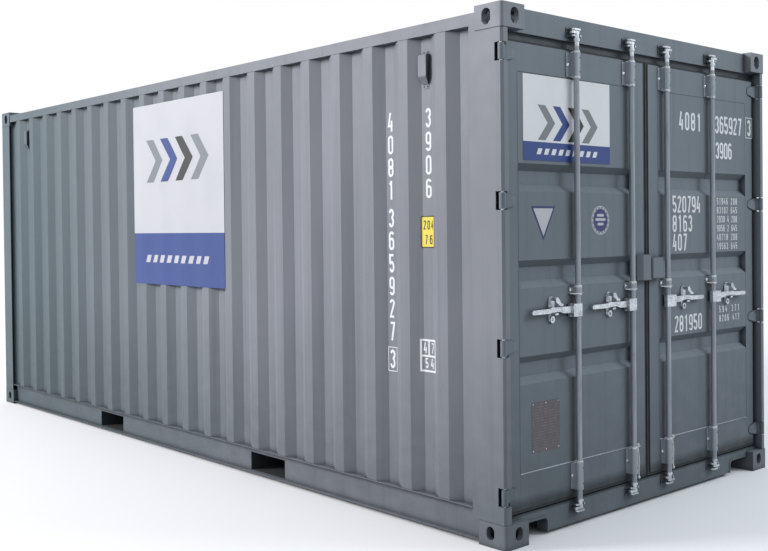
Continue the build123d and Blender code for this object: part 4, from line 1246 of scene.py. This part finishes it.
# %% Hoods in place of the plain vents
HOLLOW_Y = SIDE_OUTER - HOLLOW_DEEP
HOOD = (
    (0, 24, 19), (5, 23, 20), (30, 60, 29), (31, 66, 29), (31, 166, 29), (27, 173, 27), (0, 178, 26))
HOOD_TABS = ((2, 24), (176, 193))
TAB_HALF = 20
TAB_THICK = 2.5
TAB_RIVET_OUT = 12
TAB_RIVET_R, TAB_RIVET_HIGH = 4, 2.2
VENT_PLACES = ((2471, 2237), (-2533, 2226))


def vent_hood(name, side, x, low):
    """One hood with its tabs and rivets on the wall at this side."""
    face = {
        "origin": mm(0, side * HOLLOW_Y, 0), "across": Vector((1, 0, 0)),
        "out": Vector((0, side, 0)), "depth": no_depth}
    shape = bmesh.new()
    rows = [
        [shape.verts.new(on_face(face, x + way * half, low + up, out)) for way in (-1, 1)]
        for out, up, half in HOOD]
    for lower, upper in zip(rows, rows[1:]):
        shape.faces.new((lower[0], lower[1], upper[1], upper[0]))
    for way in (0, 1):
        shape.faces.new([row[way] for row in rows])
    for foot, head in HOOD_TABS:
        corners = box_outline(x - TAB_HALF, x + TAB_HALF, low + foot, low + head)
        back = [shape.verts.new(on_face(face, a, u, 0)) for a, u in corners]
        front = [shape.verts.new(on_face(face, a, u, TAB_THICK)) for a, u in corners]
        shape.faces.new(front)
        for i in range(4):
            shape.faces.new((back[i - 1], back[i], front[i], front[i - 1]))
    bmesh.ops.triangulate(shape, faces=shape.faces)
    bmesh.ops.recalc_face_normals(shape, faces=shape.faces)
    piece = keep(name, shape, "box", sheet_enamel)
    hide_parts("side_vents")
    rivets = bmesh.new()
    for foot, head in HOOD_TABS:
        for way in (-1, 1):
            spot = on_face(face, x + way * TAB_RIVET_OUT, low + (foot + head) / 2, TAB_THICK)
            dome(rivets, spot, face["out"], TAB_RIVET_R, TAB_RIVET_HIGH)
    keep(name + "_rivets", rivets, "box", rubber)


for side, word in ((-1, "left"), (1, "right")):
    for (x, low), end in zip(VENT_PLACES, ("door", "closed")):
        vent_hood(f"vent_{word}_{end}_end", side, x, low)
print("vent hoods:", 2 * len(VENT_PLACES))

# %% [markdown]
# ## Floor, walls of light and lamps
#
# The container stands on a plain pale floor against white. Far from it, the floor turns
# as white as the background for the camera alone, so no horizon shows. The floor sends
# less light back than it shows to the camera, because a yard is darker than paper, and
# that keeps the sills dark. A large lamp far on the left lights the flats of the long
# side and leaves the slopes that face the doors in shade. A weaker one on the right
# lights the doors, and a grey world, brighter above, fills the rest.

# %% Floor and background
FLOOR_SEEN = "#F2F3F4"
FLOOR_BOUNCE = "#6E7072"
HALF_FLOOR = 60
FLOOR_DROP = 0.001
SKY = "#F2F4F7"
SKY_LOW, SKY_HIGH = 0.42, 0.95


def pale_floor():
    """Matte floor that fades to the background's white for the camera."""
    material, tree, place, shader = new_finish("pale_studio_floor")
    paths = add(tree, "ShaderNodeLightPath")
    shade = tint(
        tree, paths.outputs["Is Diffuse Ray"], hex_colour(FLOOR_SEEN), hex_colour(FLOOR_BOUNCE))
    set_shader(tree, shader, Base_Color=shade, Roughness=0.9, Specular_IOR_Level=0.1)
    far = add(tree, "ShaderNodeVectorMath", {0: place}, operation="LENGTH").outputs["Value"]
    fade = spread(tree, far, 5.0, 11.0)
    white = add(tree, "ShaderNodeEmission", {"Color": (1, 1, 1, 1), "Strength": 1.0})
    mix = add(tree, "ShaderNodeMixShader", {
        "Fac": sums(tree, "MULTIPLY", fade, paths.outputs["Is Camera Ray"]),
        1: shader.outputs["BSDF"], 2: white.outputs["Emission"]})
    out = next(n for n in tree.nodes if n.type == "OUTPUT_MATERIAL")
    tree.links.new(mix.outputs["Shader"], out.inputs["Surface"])
    return material


floor_mesh = bpy.data.meshes.new("floor")
floor_mesh.from_pydata(
    [(x * HALF_FLOOR, y * HALF_FLOOR, -FLOOR_DROP) for x, y in ((-1, -1), (1, -1), (1, 1), (-1, 1))],
    [], [(0, 1, 2, 3)])
floor_mesh.materials.append(pale_floor())
floor = bpy.data.objects.new("floor", floor_mesh)
bpy.context.scene.collection.objects.link(floor)

world = bpy.data.worlds.new("studio")
bpy.context.scene.world = world
world.use_nodes = True
sky = world.node_tree
sky.nodes.clear()
paths = add(sky, "ShaderNodeLightPath")
direct = sums(sky, "MAXIMUM", paths.outputs["Is Camera Ray"], paths.outputs["Is Glossy Ray"])
direct = sums(sky, "MAXIMUM", direct, paths.outputs["Is Transmission Ray"])
way = add(sky, "ShaderNodeTexCoord").outputs["Generated"]
rise = add(sky, "ShaderNodeSeparateXYZ", {"Vector": way}).outputs["Z"]
glow = add(sky, "ShaderNodeBackground", {
    "Color": hex_colour(SKY), "Strength": spread(sky, rise, 0.0, 0.9, SKY_LOW, SKY_HIGH)})
back = add(sky, "ShaderNodeBackground", {"Color": (1, 1, 1, 1), "Strength": 1.0})
both = add(sky, "ShaderNodeMixShader", {
    "Fac": direct, 1: glow.outputs["Background"], 2: back.outputs["Background"]})
add(sky, "ShaderNodeOutputWorld", {"Surface": both.outputs["Shader"]})


def lamp(name, place, aim, size, power, colour):
    """A square area lamp at a place, turned to what it lights."""
    light = bpy.data.lights.new(name, "AREA")
    light.size = size
    light.energy = power
    light.color = hex_colour(colour)[:3]
    piece = bpy.data.objects.new(name, light)
    piece.location = place
    piece.rotation_euler = (Vector(aim) - Vector(place)).to_track_quat("-Z", "Y").to_euler()
    bpy.context.scene.collection.objects.link(piece)


lamp("sky_right", (11.0, 7.0, 8.5), (3.0, 0.0, 1.6), 5.0, 720, "#E3F0F8")
lamp("sky_left", (-11.0, -17.0, 10.0), (0.6, -1.2, 1.3), 8.0, 4700, "#FFFCFF")
print("floor, world and lamps ready")
